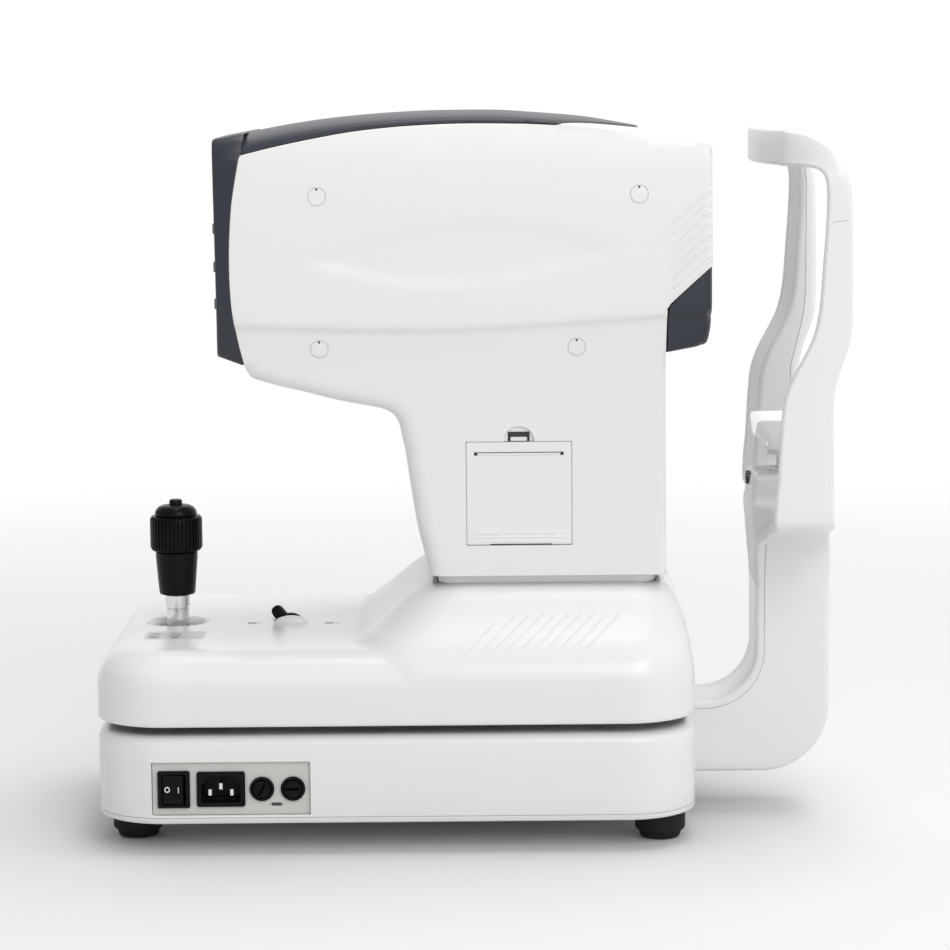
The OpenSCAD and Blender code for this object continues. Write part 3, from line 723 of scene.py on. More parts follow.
def lens_depth(x, z):
    """The depth of the pointed oval hollow in the head's side."""
    x, z = x - LENS_MID[0], z - LENS_MID[1]
    u = x * math.cos(LENS_TILT) + z * math.sin(LENS_TILT)
    v = z * math.cos(LENS_TILT) - x * math.sin(LENS_TILT)
    edge = LENS_HALF[1] * (1 - (u / LENS_HALF[0]) ** 2) - np.abs(v)
    return 1.7 * smooth(edge / 13)


def head_side(x, z):
    """Half width of the head and neck at a point of its side view."""
    return BULGE(z - CREASE(x)) - lens_depth(x, z)


def lens_rows():
    """Lines of points along the hollow's edges."""
    rows = []
    for edge in (-1, 2, 5, 8, 11, 14):
        u = np.arange(-LENS_HALF[0], LENS_HALF[0], 4.0)
        v = LENS_HALF[1] * (1 - (u / LENS_HALF[0]) ** 2) - edge
        for s in (1, -1):
            x = LENS_MID[0] + u * math.cos(LENS_TILT) - s * v * math.sin(LENS_TILT)
            z = LENS_MID[1] + s * v * math.cos(LENS_TILT) + u * math.sin(LENS_TILT)
            rows.append(np.stack([x, z], 1)[v > 0.5])
    return rows


def crease_rows():
    """Lines of points along the crease under the head's bulge."""
    x = np.arange(-104, 180, 3.0)
    return [np.stack([x, CREASE(x) + s], 1) for s in (-9, -7, -5, -3.5, -2, -1, 0, 1.5, 4)]


def ridges(skin, side):
    """Slanted ridges at the patient's end of the head."""
    x = np.linspace(176.6, 205.4, 22)
    for k in range(8):
        z = 350 + RIDGE_PITCH * k + 0.9 * (x - 177)
        half = head_side(x, z)
        slope_x = head_side(x + 0.5, z) - head_side(x - 0.5, z)
        slope_z = head_side(x, z + 0.5) - head_side(x, z - 0.5)
        normal = np.stack([-slope_x, side + 0 * x, -slope_z], 1)
        rib(skin, np.stack([x, side * half, z], 1), normal, 1.15, 0.65)


def finger_notch():
    """The half round notch over the printer door."""
    return bow(DOOR_MID, DOOR[3] + 0.3, MOON_R, np.arange(0, 181, 9) * RAD)


def door_opening():
    """The printer door's opening and the finger notch over it, as one outline."""
    x0, z0, x1, z1 = DOOR
    return refine(np.vstack([[(x0 - 0.4, z0 - 0.4), (x1 + 0.4, z0 - 0.4), (x1 + 0.4, z1 + 0.3)],
                             finger_notch(), [(x0 - 0.4, z1 + 0.3)]]))


def spread(points, step=2.5):
    """A smooth line as closely spaced points, and where each one lies among the given ones."""
    count = [max(1, int(round(math.dist(a, b) / step))) for a, b in zip(points[:-1], points[1:])]
    where = [i + k / n for i, n in enumerate(count) for k in range(n)] + [len(points) - 1.0]
    return spline(points, where), where


def spline(points, where):
    """Points on a smooth line at the given places among its own points."""
    p = np.asarray(points, float)
    ends = np.vstack([2 * p[0] - p[1], p, 2 * p[-1] - p[-2]])
    found = []
    for w in where:
        i = min(int(w), len(p) - 2)
        found.append(between(*ends[i:i + 4], w - i))
    return np.array(found)


def dome(edge, top, a0, a1, n=14):
    """Points over a shoulder from an edge (x, half width, z) to a top (x, z), between angles."""
    a = np.linspace(a0, a1, n)
    c, s = np.clip(np.cos(a), 0, 1) ** 0.78, np.clip(np.sin(a), 0, 1) ** 0.78
    return np.stack([edge[0] + (top[0] - edge[0]) * s, edge[1] * c,
                     edge[2] + (top[1] - edge[2]) * s], 1)


def cover_angle(x, half):
    """Where the dark cover's edge cuts the dome."""
    return math.acos(min(1.0, COVER_HALF(x) / half) ** (1 / 0.78)) if x < 163.5 else math.pi / 2


def head_patch(side):
    """One side of the head and neck as a patch, and the shoulder's stations."""
    shoulder, where = spread(SHOULDER)
    sides = [([(21.8, NECK_Z), (176.3, NECK_Z)], 1, False),
             ([(176.3, NECK_Z), (176.3, 317)], 4, False),
             ([(176.3, 317), (176.9, 346.4)], 0.8, False),
             ([(176.9, 346.4), (179, 350), (182.5, 353.2), (206, 375)], 0.8, False),
             ([(206, 375), (206, 446.4)], 3.5, False),
             (shoulder, 0, False),
             (SEAM_TOP, 0.9, True),
             (SEAM_LEFT, 0.9, True),
             (UNDERSIDE, 11, True)]
    holes = [(circle(x, z, CAP_R + 0.2, 40), 0.25) for x, z in CAPS]
    if side < 0:
        holes.append((door_opening(), 0.5))
    extra = lens_rows() + crease_rows()
    return Patch(sides, head_side, holes, step=5, extra=extra), where


def head_shell(side):
    """A white half shell: its side, shoulder, front, and the walls that close it."""
    patch, where = head_patch(side)
    turn = along_y(side)
    skin = Skin()
    skin.lay(patch, turn)
    ridges(skin, side)
    skin.hem(patch, (1, 8), to_middle, turn)
    foot = turn(patch.edge(0))
    skin.rows([foot, foot - [0, side * 2, 0], foot + [0, -side * 2, 12]])
    for i in range(len(CAPS)):
        rim = turn(patch.rim(i))
        skin.rows([rim, rim - [0, side * 0.7, 0]])
        skin.cap((rim - [0, side * 0.7, 0])[:-1])
    if side < 0:
        rim = turn(patch.rim(len(CAPS)))
        middle = rim[:-1].mean(0)
        inward = (middle - rim) * [0.011, 0, 0.009]
        inward[:, 2] = np.minimum(inward[:, 2], 0)
        ledge = rim + [0, 0.6, 0] + inward
        skin.rows([rim, rim + [0, 0.6, 0], ledge, ledge + [0, 3, 0]])
        skin.cap(facing(finger_notch(), -83.3))
    skin.hem(patch, (3, 6, 7), moved(0, -side * 2, 0), turn)
    lip = turn(patch.edge(7))
    lip = lip[lip[:, 2] < LIP_TOP]
    skin.rows([lip, to_middle(lip)])
    shoulder = patch.edge(5)
    tops = spline(ROOF, where)
    rows = [dome((x, half, z), top, 0, cover_angle(x, half))
            for (x, z, half), top in zip(shoulder, tops)]
    skin.rows([row * [1, side, 1] for row in rows])
    front_face(skin, patch, rows[0], side)
    name = "head_shell_near" if side < 0 else "head_shell_far"
    skin.build(name + "_shell", white(), "shell_white", "head", [name])
    return patch, where


def front_face(skin, patch, top_row, side):
    """The flat front of a half shell, cut away for the dark fascia's tongue."""
    half, top, r = TONGUE
    a = np.linspace(90, 0, 9) * RAD
    tongue = bow(half - r, top - r, r, a)
    edge = patch.edge(4)[:, [2, 1]]
    over = top_row[:, [1, 2]]
    loop_sides = [([(half, 375), tuple(edge[0])], 0.8, False),
                  (edge, 0, False),
                  (over, 0, False),
                  ([tuple(over[-1]), (0, top)], 0, False),
                  (np.vstack([[(0, top)], tongue, [(half, 375)]]), 0.8, False)]
    face = Patch(loop_sides, lambda y, z: FRONT_X + 0 * y, step=6)
    skin.add(along_x(1)(face.points) * [1, side, 1], face.faces)


def head_cover(patch, where):
    """The dark lid: one dome from side to side, its edge a little inside the white shells."""
    seam = patch.edge(6)
    shoulder = patch.edge(5)
    tops = spline(ROOF, where)
    stations = []
    for (x, z, half), top in zip(shoulder, tops):
        if 88 < x < 163.5:
            stations.append(((x, half, z), tuple(top)))
    for x, z, half in seam:
        stations.append(((x, half, z), (x, ROOF_Z(x))))
    rows = []
    for edge, top in stations:
        a0 = cover_angle(edge[0], edge[1] + 0.001)
        line = dome(edge, top, a0, math.pi / 2, 40)
        if a0 < 0.02:
            line[:, 2] = np.maximum(line[:, 2], edge[2] + 0.7)
            line[:, 1] *= (edge[1] - 0.5) / edge[1]
        rise = COVER_RISE * np.sqrt(1 - (1 - np.clip((line[0, 1] - line[:, 1]) / 3, 0, 1)) ** 2)
        tucked = line[0] - [0, 1.2, 1.4]
        half_row = np.vstack([tucked, line + np.stack([0 * rise, 0 * rise, rise], 1)])
        rows.append(np.vstack([half_row * [1, -1, 1], half_row[::-1][1:]]))
    skin = Skin()
    skin.rows(rows)
    tip = rows[0]
    skin.rows([tip, tip - [0, 0, 2]])
    skin.rows([rows[-1], rows[-1] + [1.5, 0, -3]])
    skin.build("head_lid", slate(), "dark_plastic", "head", ["head_top"])


BEZEL_X = -116
BEZEL_HALF = 94.5
BEZEL_MID = 386.25
# x of the bezel's rear edge by height
BEZEL_BACK = table([(300, -96), (311.5, -97.8), (326, -99.5), (344, -102.5), (360, -103.9),
                    (378, -104.3), (394, -103.9), (414, -102.5), (430, -100.1), (446.4, -98),
                    (453, -97.4), (462, -95.8)])
# the screen's opening, y and z of two corners, and the keys beside it
SCREEN = (-58, 334, 70, 438)
KEY_Y = -78
KEY_Z = [399.7, 375.2, 351.4]


def bezel_width(z, inset):
    """The bezel's sides follow the shells' bulge, a little inside it."""
    return (BULGE(z - CREASE(-100)) - inset) / BEZEL_HALF


def bezel_face(y, z):
    """The bezel's face is flat in the middle and falls back near its two sides."""
    return -BEZEL_X - (2.2 + (456 - z) / 140 * 1.8) * (np.abs(y) / 94) ** 3


def screen_bezel():
    """The dark frame round the screen, at the operator's end of the head."""
    loop = refine(rounded_rectangle(-BEZEL_HALF, 316.2, BEZEL_HALF, 457.2, 9, 10), 4)
    loop[:, 0] *= bezel_width(loop[:, 1], 2.6)
    holes = [(refine(rounded_rectangle(*SCREEN, 2.5), 6), 1.2)]
    holes += [(rounded_rectangle(KEY_Y - 6.4, z - 3.9, KEY_Y + 6.4, z + 3.9, 2), 0.4)
              for z in KEY_Z]
    face = plate(loop, 2.4, bezel_face, holes, 8)
    turn = along_x(-1)
    skin = Skin()
    skin.lay(face, turn)
    edge = turn(face.edge(0))
    back = edge[:, 1:].copy()
    back[:, 0] /= bezel_width(back[:, 1], 2.6)
    up = back[:, 1] - BEZEL_MID
    back[:, 1] = BEZEL_MID + np.where(up > 0, up * 1.042, up * 1.0707)
    back[:, 1] = np.where(back[:, 1] < 330, np.maximum(back[:, 1], 311.4), back[:, 1])
    back[:, 0] *= bezel_width(back[:, 1], 0.5)
    rear = np.column_stack([BEZEL_BACK(back[:, 1]), back])
    skin.rows([edge, rear, rear + [2.5, 0, 0] - rear * [0, 0.012, 0]])
    skin.wells(face, [3, 0, 0], turn)
    skin.build("bezel", slate(), "dark_plastic", "head", ["screen_bezel"])


def keys():
    """Three small keys beside the screen."""
    for z, name, body in zip(KEY_Z, ("key_top", "key_mid", "key_low"),
                             ("key_upper", "key_middle", "key_lower")):
        front = bezel_face(KEY_Y, z) + 0.7
        loop = rounded_rectangle(KEY_Y - 6, z - 3.5, KEY_Y + 6, z + 3.5, 1.8)
        face = plate(loop, 1, lambda y, _: 0 * y + front, step=3)
        skin = Skin()
        skin.lay(face, along_x(-1))
        skin.hem(face, [0], moved(6, 0, 0), along_x(-1))
        skin.build(name + "_face", key_grey(), "dark_plastic", body, [name])


WINDOW_Z = 388
WINDOW_R = 27.3


def front_fascia():
    """The dark wedge under the patient's end, with a tongue that carries the window."""
    sides = [([(177, 317.4), (199.5, 321.6)], 6, False),
             ([(199.5, 321.6), (202.8, 323.6), (204.7, 330.5), (205.8, 341)], 7, True),
             ([(205.8, 341), (205.8, 374.3)], 7, False),
             ([(205.8, 374.3), (183, 353.2), (179.4, 349.6), (177.4, 346)], 0.8, False),
             ([(177.4, 346), (177, 317.4)], 0.8, False)]
    x = np.arange(178, 206, 3.0)
    rows = [np.stack([x, CREASE(x) + s], 1) for s in (-7, -5, -3.5, -2, -1, 0, 1.5, 4)]
    patch = Patch(sides, lambda x, z: head_side(x, z) - 0.2, (), 4, rows)
    skin = Skin()
    for side in (-1, 1):
        turn = along_y(side)
        skin.lay(patch, turn)
        skin.hem(patch, (0, 1), to_middle, turn)
        skin.hem(patch, (3, 4), moved(0, -side * 3, 0), turn)
    half, top, r = TONGUE
    half, top = half - 0.5, top - 0.5
    a = np.linspace(0, 180, 19) * RAD
    arch = bow(np.where(a < math.pi / 2, half - r, r - half), top - r, r, a)
    edge = patch.edge(2)[:, [2, 1]]
    face = Patch([([tuple(edge[0] * [-1, 1]), tuple(edge[0])], 0, False),
                  (edge, 0, False),
                  ([tuple(edge[-1]), (half, edge[-1][1])], 0.8, False),
                  (np.vstack([[(half, edge[-1][1])], arch, [(-half, edge[-1][1])]]), 0.8, False),
                  ([(-half, edge[-1][1]), tuple(edge[-1] * [-1, 1])], 0.8, False),
                  (edge[::-1] * [-1, 1], 0, False)],
                 lambda y, z: FRONT_X - 0.2 + 0 * y, [(circle(0, WINDOW_Z, WINDOW_R, 64), 1.2)], 6)
    turn = along_x(1)
    skin.lay(face, turn)
    skin.wells(face, [-3, 0, 0], turn)
    skin.hem(face, (2, 3, 4), moved(-2, 0, 0), turn)
    skin.build("fascia", slate(), "dark_plastic", "head", ["front_fascia"])


def cap_faces():
    """Round plugs over the shell screws, each with a small notch for lifting it out."""
    skin = Skin()
    notch = Skin()
    for side in (-1, 1):
        for x, z in CAPS:
            y = head_side(x, z)
            slope = (head_side(x, z + 5) - head_side(x, z - 5)) / 10
            rings = []
            for r, lift in ((CAP_R, -0.6), (CAP_R, -0.2), (CAP_R - 0.25, 0), (3, 0.1),
                            (0.01, 0.12)):
                u, v = closed(circle(0, 0, r, 40)).T
                rings.append(np.column_stack([x + u, side * (y + lift + slope * v), z + v]))
            skin.rows(rings)
            u = np.array([-0.65, 0.65, 0.65, -0.65])
            v = np.array([3.7, 3.7, 5.3, 5.3])
            notch.quad(np.column_stack([x + u, side * (y + 0.06 + slope * v), z + v]))
    skin.build("cap_faces", white(), "shell_white", "head", ["screw_caps"])
    notch.build("cap_notches", slate(), "dark_plastic", "head")


# ---- base and stage ------------------------------------------------------------------

# the base seen from above: half its length and width, and its corner radius
HALF_X = 195
HALF_Y = 131
CORNER = 45
BASE_Z = (24, 77)
BASE_ROUND = 7
STAGE_Z = 83
DECK_Z = 130
DECK_ROUND = 25
# the power panel's pocket: its two ends and its top
PANEL = (-157, -55, 60.4)
STICK_X = -150
BALL_Z = 95
BALL_R = 15.7
LEVER_X = -74
LEVER_Z = 124
LEVER_LEAN = 38 * RAD
# the opening for the column that carries the head
SLEEVE = (28, -78, 170, 78)

# the hump under the neck as a stack of rounded rectangles: height, ends, half width, corner
HUMP = np.array([
    (60, -30, 195, 131, 45), (104, -29, 195, 131, 45), (112, -28.5, 194.6, 130.6, 45),
    (118, -28, 194, 129, 44), (123, -27.5, 193.2, 126.6, 42), (129, -26.5, 192.2, 121.8, 39),
    (134.5, -20, 191, 116.8, 36), (142, -10, 189.4, 109.4, 33), (151.5, 0.5, 186.4, 100.4, 30),
    (158, 8, 183.6, 94.6, 28), (161.5, 12.6, 181.4, 91.2, 27), (164.5, 17.4, 179, 87.8, 26),
    (166.4, 22.5, 176.4, 84, 25), (167, 28, 173, 79, 24)])


def outline(inset=0.0):
    """The base's outline seen from above."""
    return rounded_rectangle(-HALF_X + inset, -HALF_Y + inset, HALF_X - inset, HALF_Y - inset,
                             CORNER - inset, 18)


def box_depth(x, y, x0, x1, half, r):
    """How far inside a rounded rectangle a point lies."""
    across = np.abs(x - (x0 + x1) / 2) - ((x1 - x0) / 2 - r)
    along = np.abs(y) - (half - r)
    out = np.hypot(np.maximum(across, 0), np.maximum(along, 0))
    return r - out - np.minimum(np.maximum(across, along), 0)


def hump_height(x, y):
    """The height of the hump under the neck."""
    fine = np.linspace(0, 1, 90)
    given = np.linspace(0, 1, len(HUMP))
    stack = np.array([np.interp(fine, given, HUMP[:, i]) for i in range(5)]).T
    depth = [box_depth(x, y, *level[1:]) for level in stack]
    z = np.full(np.shape(x), stack[0, 0])
    for k in range(len(stack) - 1):
        a, b = depth[k:k + 2]
        part = np.clip(a / np.maximum(a - b, 1e-6), 0, 1)
        z = np.where(a >= 0, stack[k, 0] + (stack[k + 1, 0] - stack[k, 0]) * part, z)
    return z


def deck_height(x, y):
    """The height of the flat deck with its rounded edge."""
    d = np.clip(box_depth(x, y, -HALF_X, HALF_X, HALF_Y, CORNER), 0, DECK_ROUND)
    return DECK_Z - DECK_ROUND + np.sqrt(DECK_ROUND ** 2 - (DECK_ROUND - d) ** 2)


def stripes(skin, side):
    """Slanted stripes on the sloping flank of the stage under the printer."""
    y = np.linspace(-90, -129, 160)
    for k in range(10):
        z = np.linspace(127.6, 151.6, 26)
        x = 45 + 8.3 * k + (z - 127) * 1.12
        keep = x > 36.7 + np.maximum(z - 130.4, 0) * 1.94
        if keep.sum() < 6:
            continue
        x, z = x[keep], z[keep]
        line, normal = [], []
        for px, pz in zip(x, z):
            py = float(np.interp(-pz, -stage_height(px + 0 * y, y), y))
            dx = stage_height(px + 0.5, py) - stage_height(px - 0.5, py)
            dy = stage_height(px, py + 0.5) - stage_height(px, py - 0.5)
            line.append([px, -side * py, pz])
            normal.append([-dx, side * dy, 1])
        rib(skin, line, np.array(normal, float), 1.1, 0.5)


def stage_height(x, y):
    """Deck and hump together, softly joined where they meet."""
    a = deck_height(x, y)
    b = hump_height(x, y)
    soft = 5.0
    mix = np.clip(0.5 + 0.5 * (b - a) / soft, 0, 1)
    return a + (b - a) * mix + soft * mix * (1 - mix) * 0.5


STAGE_RIM = 3


def stage_rows():
    """Lines of points that follow the stage cover's contours."""
    rows = []
    for inset in (4, 5.5, 8, 11, 14.5, 18, 21.5, 25, 29, 33, 37, 41):
        rows.append(refine(outline(inset), 4))
    for _, x0, x1, half, r in HUMP[3:]:
        rows.append(refine(rounded_rectangle(x0, -half, x1, half, r, 12), 3.5))
    return rows


def stage_cover():
    """The white cover of the moving stage, with its three openings."""
    loop = refine(outline(STAGE_RIM), 4)
    holes = [(circle(STICK_X, 0, 20.8, 64), 0.8),
             (refine(rounded_rectangle(LEVER_X - 11.5, -3, LEVER_X + 11.5, 3, 2.9, 5)), 0.5),
             (refine(rounded_rectangle(SLEEVE[0] - 0.6, SLEEVE[1] - 0.6, SLEEVE[2] + 0.6,
                                       SLEEVE[3] + 0.6, 12.6), 4), 0.8)]
    patch = plate(loop, 0, stage_height, holes, 6, stage_rows())
    skin = Skin()
    skin.lay(patch)
    edge = patch.edge(0)
    reach = np.array([HALF_X - CORNER, HALF_Y - CORNER])
    core = np.clip(edge[:, :2], -reach, reach)
    out = edge[:, :2] - core
    out /= np.linalg.norm(out, axis=1)[:, None]
    rows = [edge]
    for inset in (2.3, 1.65, 1.1, 0.66, 0.33, 0.12, 0.02, 0):
        at = edge[:, :2] + out * (STAGE_RIM - inset)
        rows.append(np.column_stack([at, stage_height(at[:, 0], at[:, 1])]))
    edge = rows[-1]
    for t in (0.3, 0.6, 0.85, 1):
        rows.append(np.column_stack([edge[:, :2], edge[:, 2] + (STAGE_Z + 2 - edge[:, 2]) * t]))
    rows += foot_rows(edge, STAGE_Z, 2)
    skin.rows(rows)
    skin.wells(patch, [0, 0, -3])
    for side in (-1, 1):
        stripes(skin, side)
    skin.build("stage_shell", white(), "shell_white", "stage", ["stage_cover"])


def foot_rows(edge, z, r):
    """Rows that round a wall's bottom edge inwards and turn up inside it."""
    rows = [inner(edge, r * inwards, z + r - r * down)
            for inwards, down in ((0.134, 0.5), (0.5, 0.866), (1, 1))]
    return rows + [inner(edge, r + 1.5, z), inner(edge, r + 1.5, z + 4)]


def base_shell():
    """Walls drawn flat as length round the outline and height, then wrapped on it."""
    loop = refine(outline(), 3)
    start = int(np.argmin(np.abs(loop[:, 0]) + np.where(loop[:, 1] > 0, 0, 1e6)))
    loop = np.roll(loop, -start, axis=0)
    ring = closed(loop)
    s = np.concatenate([[0], np.cumsum(np.linalg.norm(np.diff(ring, axis=0), axis=1))])
    ahead = np.gradient(np.vstack([ring[-2], ring, ring[1]]), axis=0)[1:-1]
    ahead /= np.linalg.norm(ahead, axis=1)[:, None]
    out = np.stack([ahead[:, 1], -ahead[:, 0]], 1)

    def wrap(p):
        x = np.interp(p[:, 0], s, ring[:, 0]) + np.interp(p[:, 0], s, out[:, 0]) * p[:, 2]
        y = np.interp(p[:, 0], s, ring[:, 1]) + np.interp(p[:, 0], s, out[:, 1]) * p[:, 2]
        return np.column_stack([x, y, p[:, 1]])

    low = ring[:, 1] < -HALF_Y + 3

    def along(x):
        k = np.argsort(ring[low, 0])
        return float(np.interp(x, ring[low, 0][k], s[low][k]))

    z0, z1 = BASE_Z
    s0, s1 = along(PANEL[0]), along(PANEL[1])
    bottom = np.stack([s, 0 * s + z0 + 0.6], 1)
    top = np.stack([s[::-1], 0 * s + z1 - BASE_ROUND], 1)
    pocket = refine(rounded_rectangle(s0, z0 + 1.6, s1, PANEL[2], 0.8, 3), 4)
    patch = Patch([(bottom, 0, False),
                   ([tuple(bottom[-1]), tuple(top[0])], 0, False),
                   (top, 0, False),
                   ([tuple(top[-1]), tuple(bottom[0])], 0, False)],
                  lambda a, z: 0 * a, [(pocket, 0.6)], 12)
    skin = Skin()
    skin.lay(patch, wrap)
    upper = wrap(patch.edge(2))
    rows = [upper]
    for a in (15, 30, 45, 60, 75, 90):
        drop = BASE_ROUND * (1 - math.sin(a * RAD))
        rows.append(inner(upper, BASE_ROUND * (1 - math.cos(a * RAD)), z1 - drop))
    rows.append(inner(upper, 30, z1))
    skin.rows(rows)
    skin.cap(rows[-1][:-1])
    lower = wrap(patch.edge(0))
    skin.rows([lower] + foot_rows(lower, z0, 0.6)[:4])
    skin.wells(patch, [0, 3.2, 0], wrap)
    skin.build("base_shell_skin", white(), "shell_white", "base", ["base_shell"])


def inner(edge, d, z):
    """A loop round the base drawn in by d and laid flat at height z."""
    flat = edge[:, :2] * [(HALF_X - d) / HALF_X, (HALF_Y - d) / HALF_Y]
    return lying(flat, z)


def lathe(skin, profile, x, y, n, ripple=None):
    """A turned shape about a vertical axis; ripple(angle, row) scales a row's radius."""
    a = np.arange(n + 1) * 2 * math.pi / n
    rows = []
    for i, (r, z) in enumerate(profile):
        k = ripple(a, i) if ripple else 1.0
        rows.append(np.stack([x + r * k * np.cos(a), y + r * k * np.sin(a), z + 0 * a], 1))
    skin.rows(rows)


def turned(name, profile, finish, slot, body, replaced, n=64, ripple=None, sharp=32):
    """A piece of the joystick, turned about its axis."""
    skin = Skin()
    lathe(skin, profile, STICK_X, 0, n, ripple)
    skin.build(name, finish, slot, body, replaced, sharp)


def joystick():
    """The stick from its ball up: shaft, grip, lifting ring, cap and button."""
    ribs = 40
    turned("grip", [(0.01, 148.9), (10.6, 148.9), (11.7, 149.3), (12.2, 150.4), (13.0, 160),
                    (13.9, 171), (14.2, 175.6), (14.1, 177.6), (13.3, 178.5), (9.2, 178.6),
                    (9.2, 181)],
           gloss_black(), "black_plastic", "stick", ["stick_grip"])

    def ripple(a, row):
        if 2 <= row <= 5:
            return 1 - 0.055 * smooth(np.cos(a * ribs) * 1.3 - 0.1)
        return 1 + 0 * a

    turned("ring_grip", [(9.4, 178.9), (16.2, 179.1), (17.3, 180.6), (17.6, 181.8), (17.6, 199.8),
                         (17.3, 201), (16.2, 202.3), (14.6, 202.7), (9.4, 202.7)],
           gloss_black(), "black_plastic", "ring", ["lift_ring"], n=ribs * 8, ripple=ripple)
    turned("cap", [(9, 202.9), (13.6, 202.9), (14.2, 203.4), (14.2, 204.4), (13.6, 206.3),
                   (12, 208.2), (9.6, 209.4), (6.6, 209.9), (5.0, 209.9), (4.8, 209.4),
                   (4.8, 206.5)],
           gloss_black(), "black_plastic", "stick", ["stick_cap"])
    turned("button", [(4.4, 206.2), (4.4, 212.2), (4.1, 213), (3.3, 213.5), (2, 213.4),
                      (0.01, 213.2)],
           gloss_black(), "black_plastic", "button", ["measure_button"], n=40)
    a = np.linspace(-90, 60, 20) * RAD
    ball = [(max(0.01, BALL_R * math.cos(t)), BALL_Z + BALL_R * math.sin(t)) for t in a]
    # the shaft's chrome carries a painted reflection: it is darkened for the dark room it mirrors
    turned("shaft", ball + [(7.8, 111), (7.8, 138.4), (8.2, 138.8), (8.2, 139.6), (7.4, 139.9),
                            (7.4, 140.6), (8.5, 140.9), (8.5, 148.2), (8.2, 148.6), (6, 148.6)],
           chrome(), "chrome", "stick", ["stick_shaft"], sharp=25)
    turned("bowl", [(17.3, 125.3), (17.3, 126.6), (17.7, 127.5), (18.7, 128.7), (19.8, 129.7),
                    (20.5, 130.05), (20.9, 130.05), (20.9, 128)],
           white(), "shell_white", "stage", ["joystick_dish"])
    turned("shield", [(8.1, 124), (9.5, 124), (12, 124.4), (14, 124.9), (15.6, 125.3),
                      (17.2, 124.5), (21, 121.9), (25.1, 118.2)],
           white(), "shell_white", "stick", ["stick_shield"])
    # painted shadow: a black ring at the shaft's foot stands in for the narrow shadow where the
    # shaft meets the shield
    turned("shaft_foot_shadow", [(7.8, 127.6), (8.2, 127.4), (8.2, 123.4)],
           gloss_black(), "black_plastic", "stick", [])


def lock_lever():
    """A short lever in a slot, behind a low rounded swelling of the deck."""
    skin = Skin()
    hub = np.array([LEVER_X + 1.2, 0, LEVER_Z])
    axis = np.array([-math.sin(LEVER_LEAN), 0, math.cos(LEVER_LEAN)])
    wide = np.array([math.cos(LEVER_LEAN), 0, math.sin(LEVER_LEAN)])
    rows = []
    for t, half_w, half_t in ((-5, 2.6, 2.2), (2, 4, 2.4), (8, 4.2, 2.4), (15, 4.2, 2.4),
                              (17.6, 3.6, 2), (19, 2.2, 1.4), (19.4, 0.3, 0.2)):
        a = np.arange(0, 361, 15) * RAD
        u = np.sign(np.cos(a)) * np.abs(np.cos(a)) ** 0.5 * half_w
        v = np.sign(np.sin(a)) * np.abs(np.sin(a)) ** 0.5 * half_t
        rows.append(hub + axis * t + u[:, None] * wide + np.stack([0 * v, v, 0 * v], 1))
    skin.rows(rows)
    for k in range(6):
        at = hub + axis * (7 + 1.8 * k) + wide * 4.1
        skin.rows([[at + [0, y, 0] + axis * t + wide * b for t, b in
                    ((0, -0.4), (0.25, 0.45), (0.65, 0.45), (0.9, -0.4))] for y in (-1.9, 1.9)])
    a = np.arange(0, 361, 12) * RAD
    wheel = [(0.01, 1), (9.6, 1), (10.6, 0.9), (11, 0.6)]
    wheel += [(r, -v) for r, v in wheel[::-1]]
    skin.rows([np.stack([LEVER_X + 0.6 + r * np.cos(a), 2.1 * v + 0 * a,
                         LEVER_Z + r * np.sin(a)], 1)
               for r, v in wheel])
    skin.build("lever", gloss_black(), "black_plastic", "lever", ["lock_lever"], sharp=45)
    dome_skin = Skin()
    rows = []
    for t in np.linspace(0, 90, 9) * RAD:
        a = np.arange(0, 361, 10) * RAD
        rows.append(np.stack([LEVER_X + 1.4 + 11.2 * math.cos(t) * np.cos(a),
                              -8.2 + 4.6 * math.cos(t) * np.sin(a),
                              DECK_Z - 0.2 + 4.8 * math.sin(t) + 0 * a], 1))
    dome_skin.rows(rows)
    dome_skin.build("lever_dome", white(), "shell_white", "stage")


def deck_marks():
    """Plain shapes: a label by the joystick and a small mark at each end of the lever's travel."""
    label = Skin()
    loop = rounded_rectangle(-166.6, -69, -127, -41, 2, 4)
    label.cap(lying(loop, DECK_Z + 0.06))
    label.build("deck_label", label_grey(), "shell_grey", "stage")
    skin = Skin()

    def mark(x0, y0, x1, y1):
        loop = rounded_rectangle(x0, y0, x1, y1, min(x1 - x0, y1 - y0) * 0.25, 3)
        skin.cap(lying(loop, DECK_Z + 0.12))

    mark(-101.8, -12.4, -95.6, -9.6)
    mark(-94.4, -11.6, -92.2, -10.6)
    mark(-49.7, -14.6, -43.8, -11.8)
    mark(-42.4, -13.8, -39.6, -12.8)
    for x in (-160.5, -146.5):
        for y, half in ((-50, 3.6), (-58, 4.2), (-64, 2.8)):
            mark(x - half, y - 1.1, x + half, y + 1.1)
    skin.build("deck_marks", mark_grey(), "shell_grey", "stage")


# ---- chin rest -----------------------------------------------------------------------

# front and rear edges of the frame's posts, by stations from the foot up: height, front x,
# rear x. Above them the stations go on over into the brow hook.
POSTS = [(156, 240, 289), (172, 239.4, 289), (180, 240.4, 288.6), (192, 242, 286.6),
         (203, 242.6, 283.6), (213, 243, 281.6), (226, 243.6, 281), (240, 245, 281),
         (258, 246, 281), (271, 246.8, 280.9), (284, 248, 280.8), (293, 250, 281.1),
         (303, 253.8, 283), (312.5, 258.8, 286.2), (321.5, 263.6, 289.4), (331, 267.6, 291.6),
         (341, 270, 292.4), (354, 271.8, 292.5), (372, 273, 292.4), (391, 274.4, 292.2),
         (408, 275.4, 291.8)]
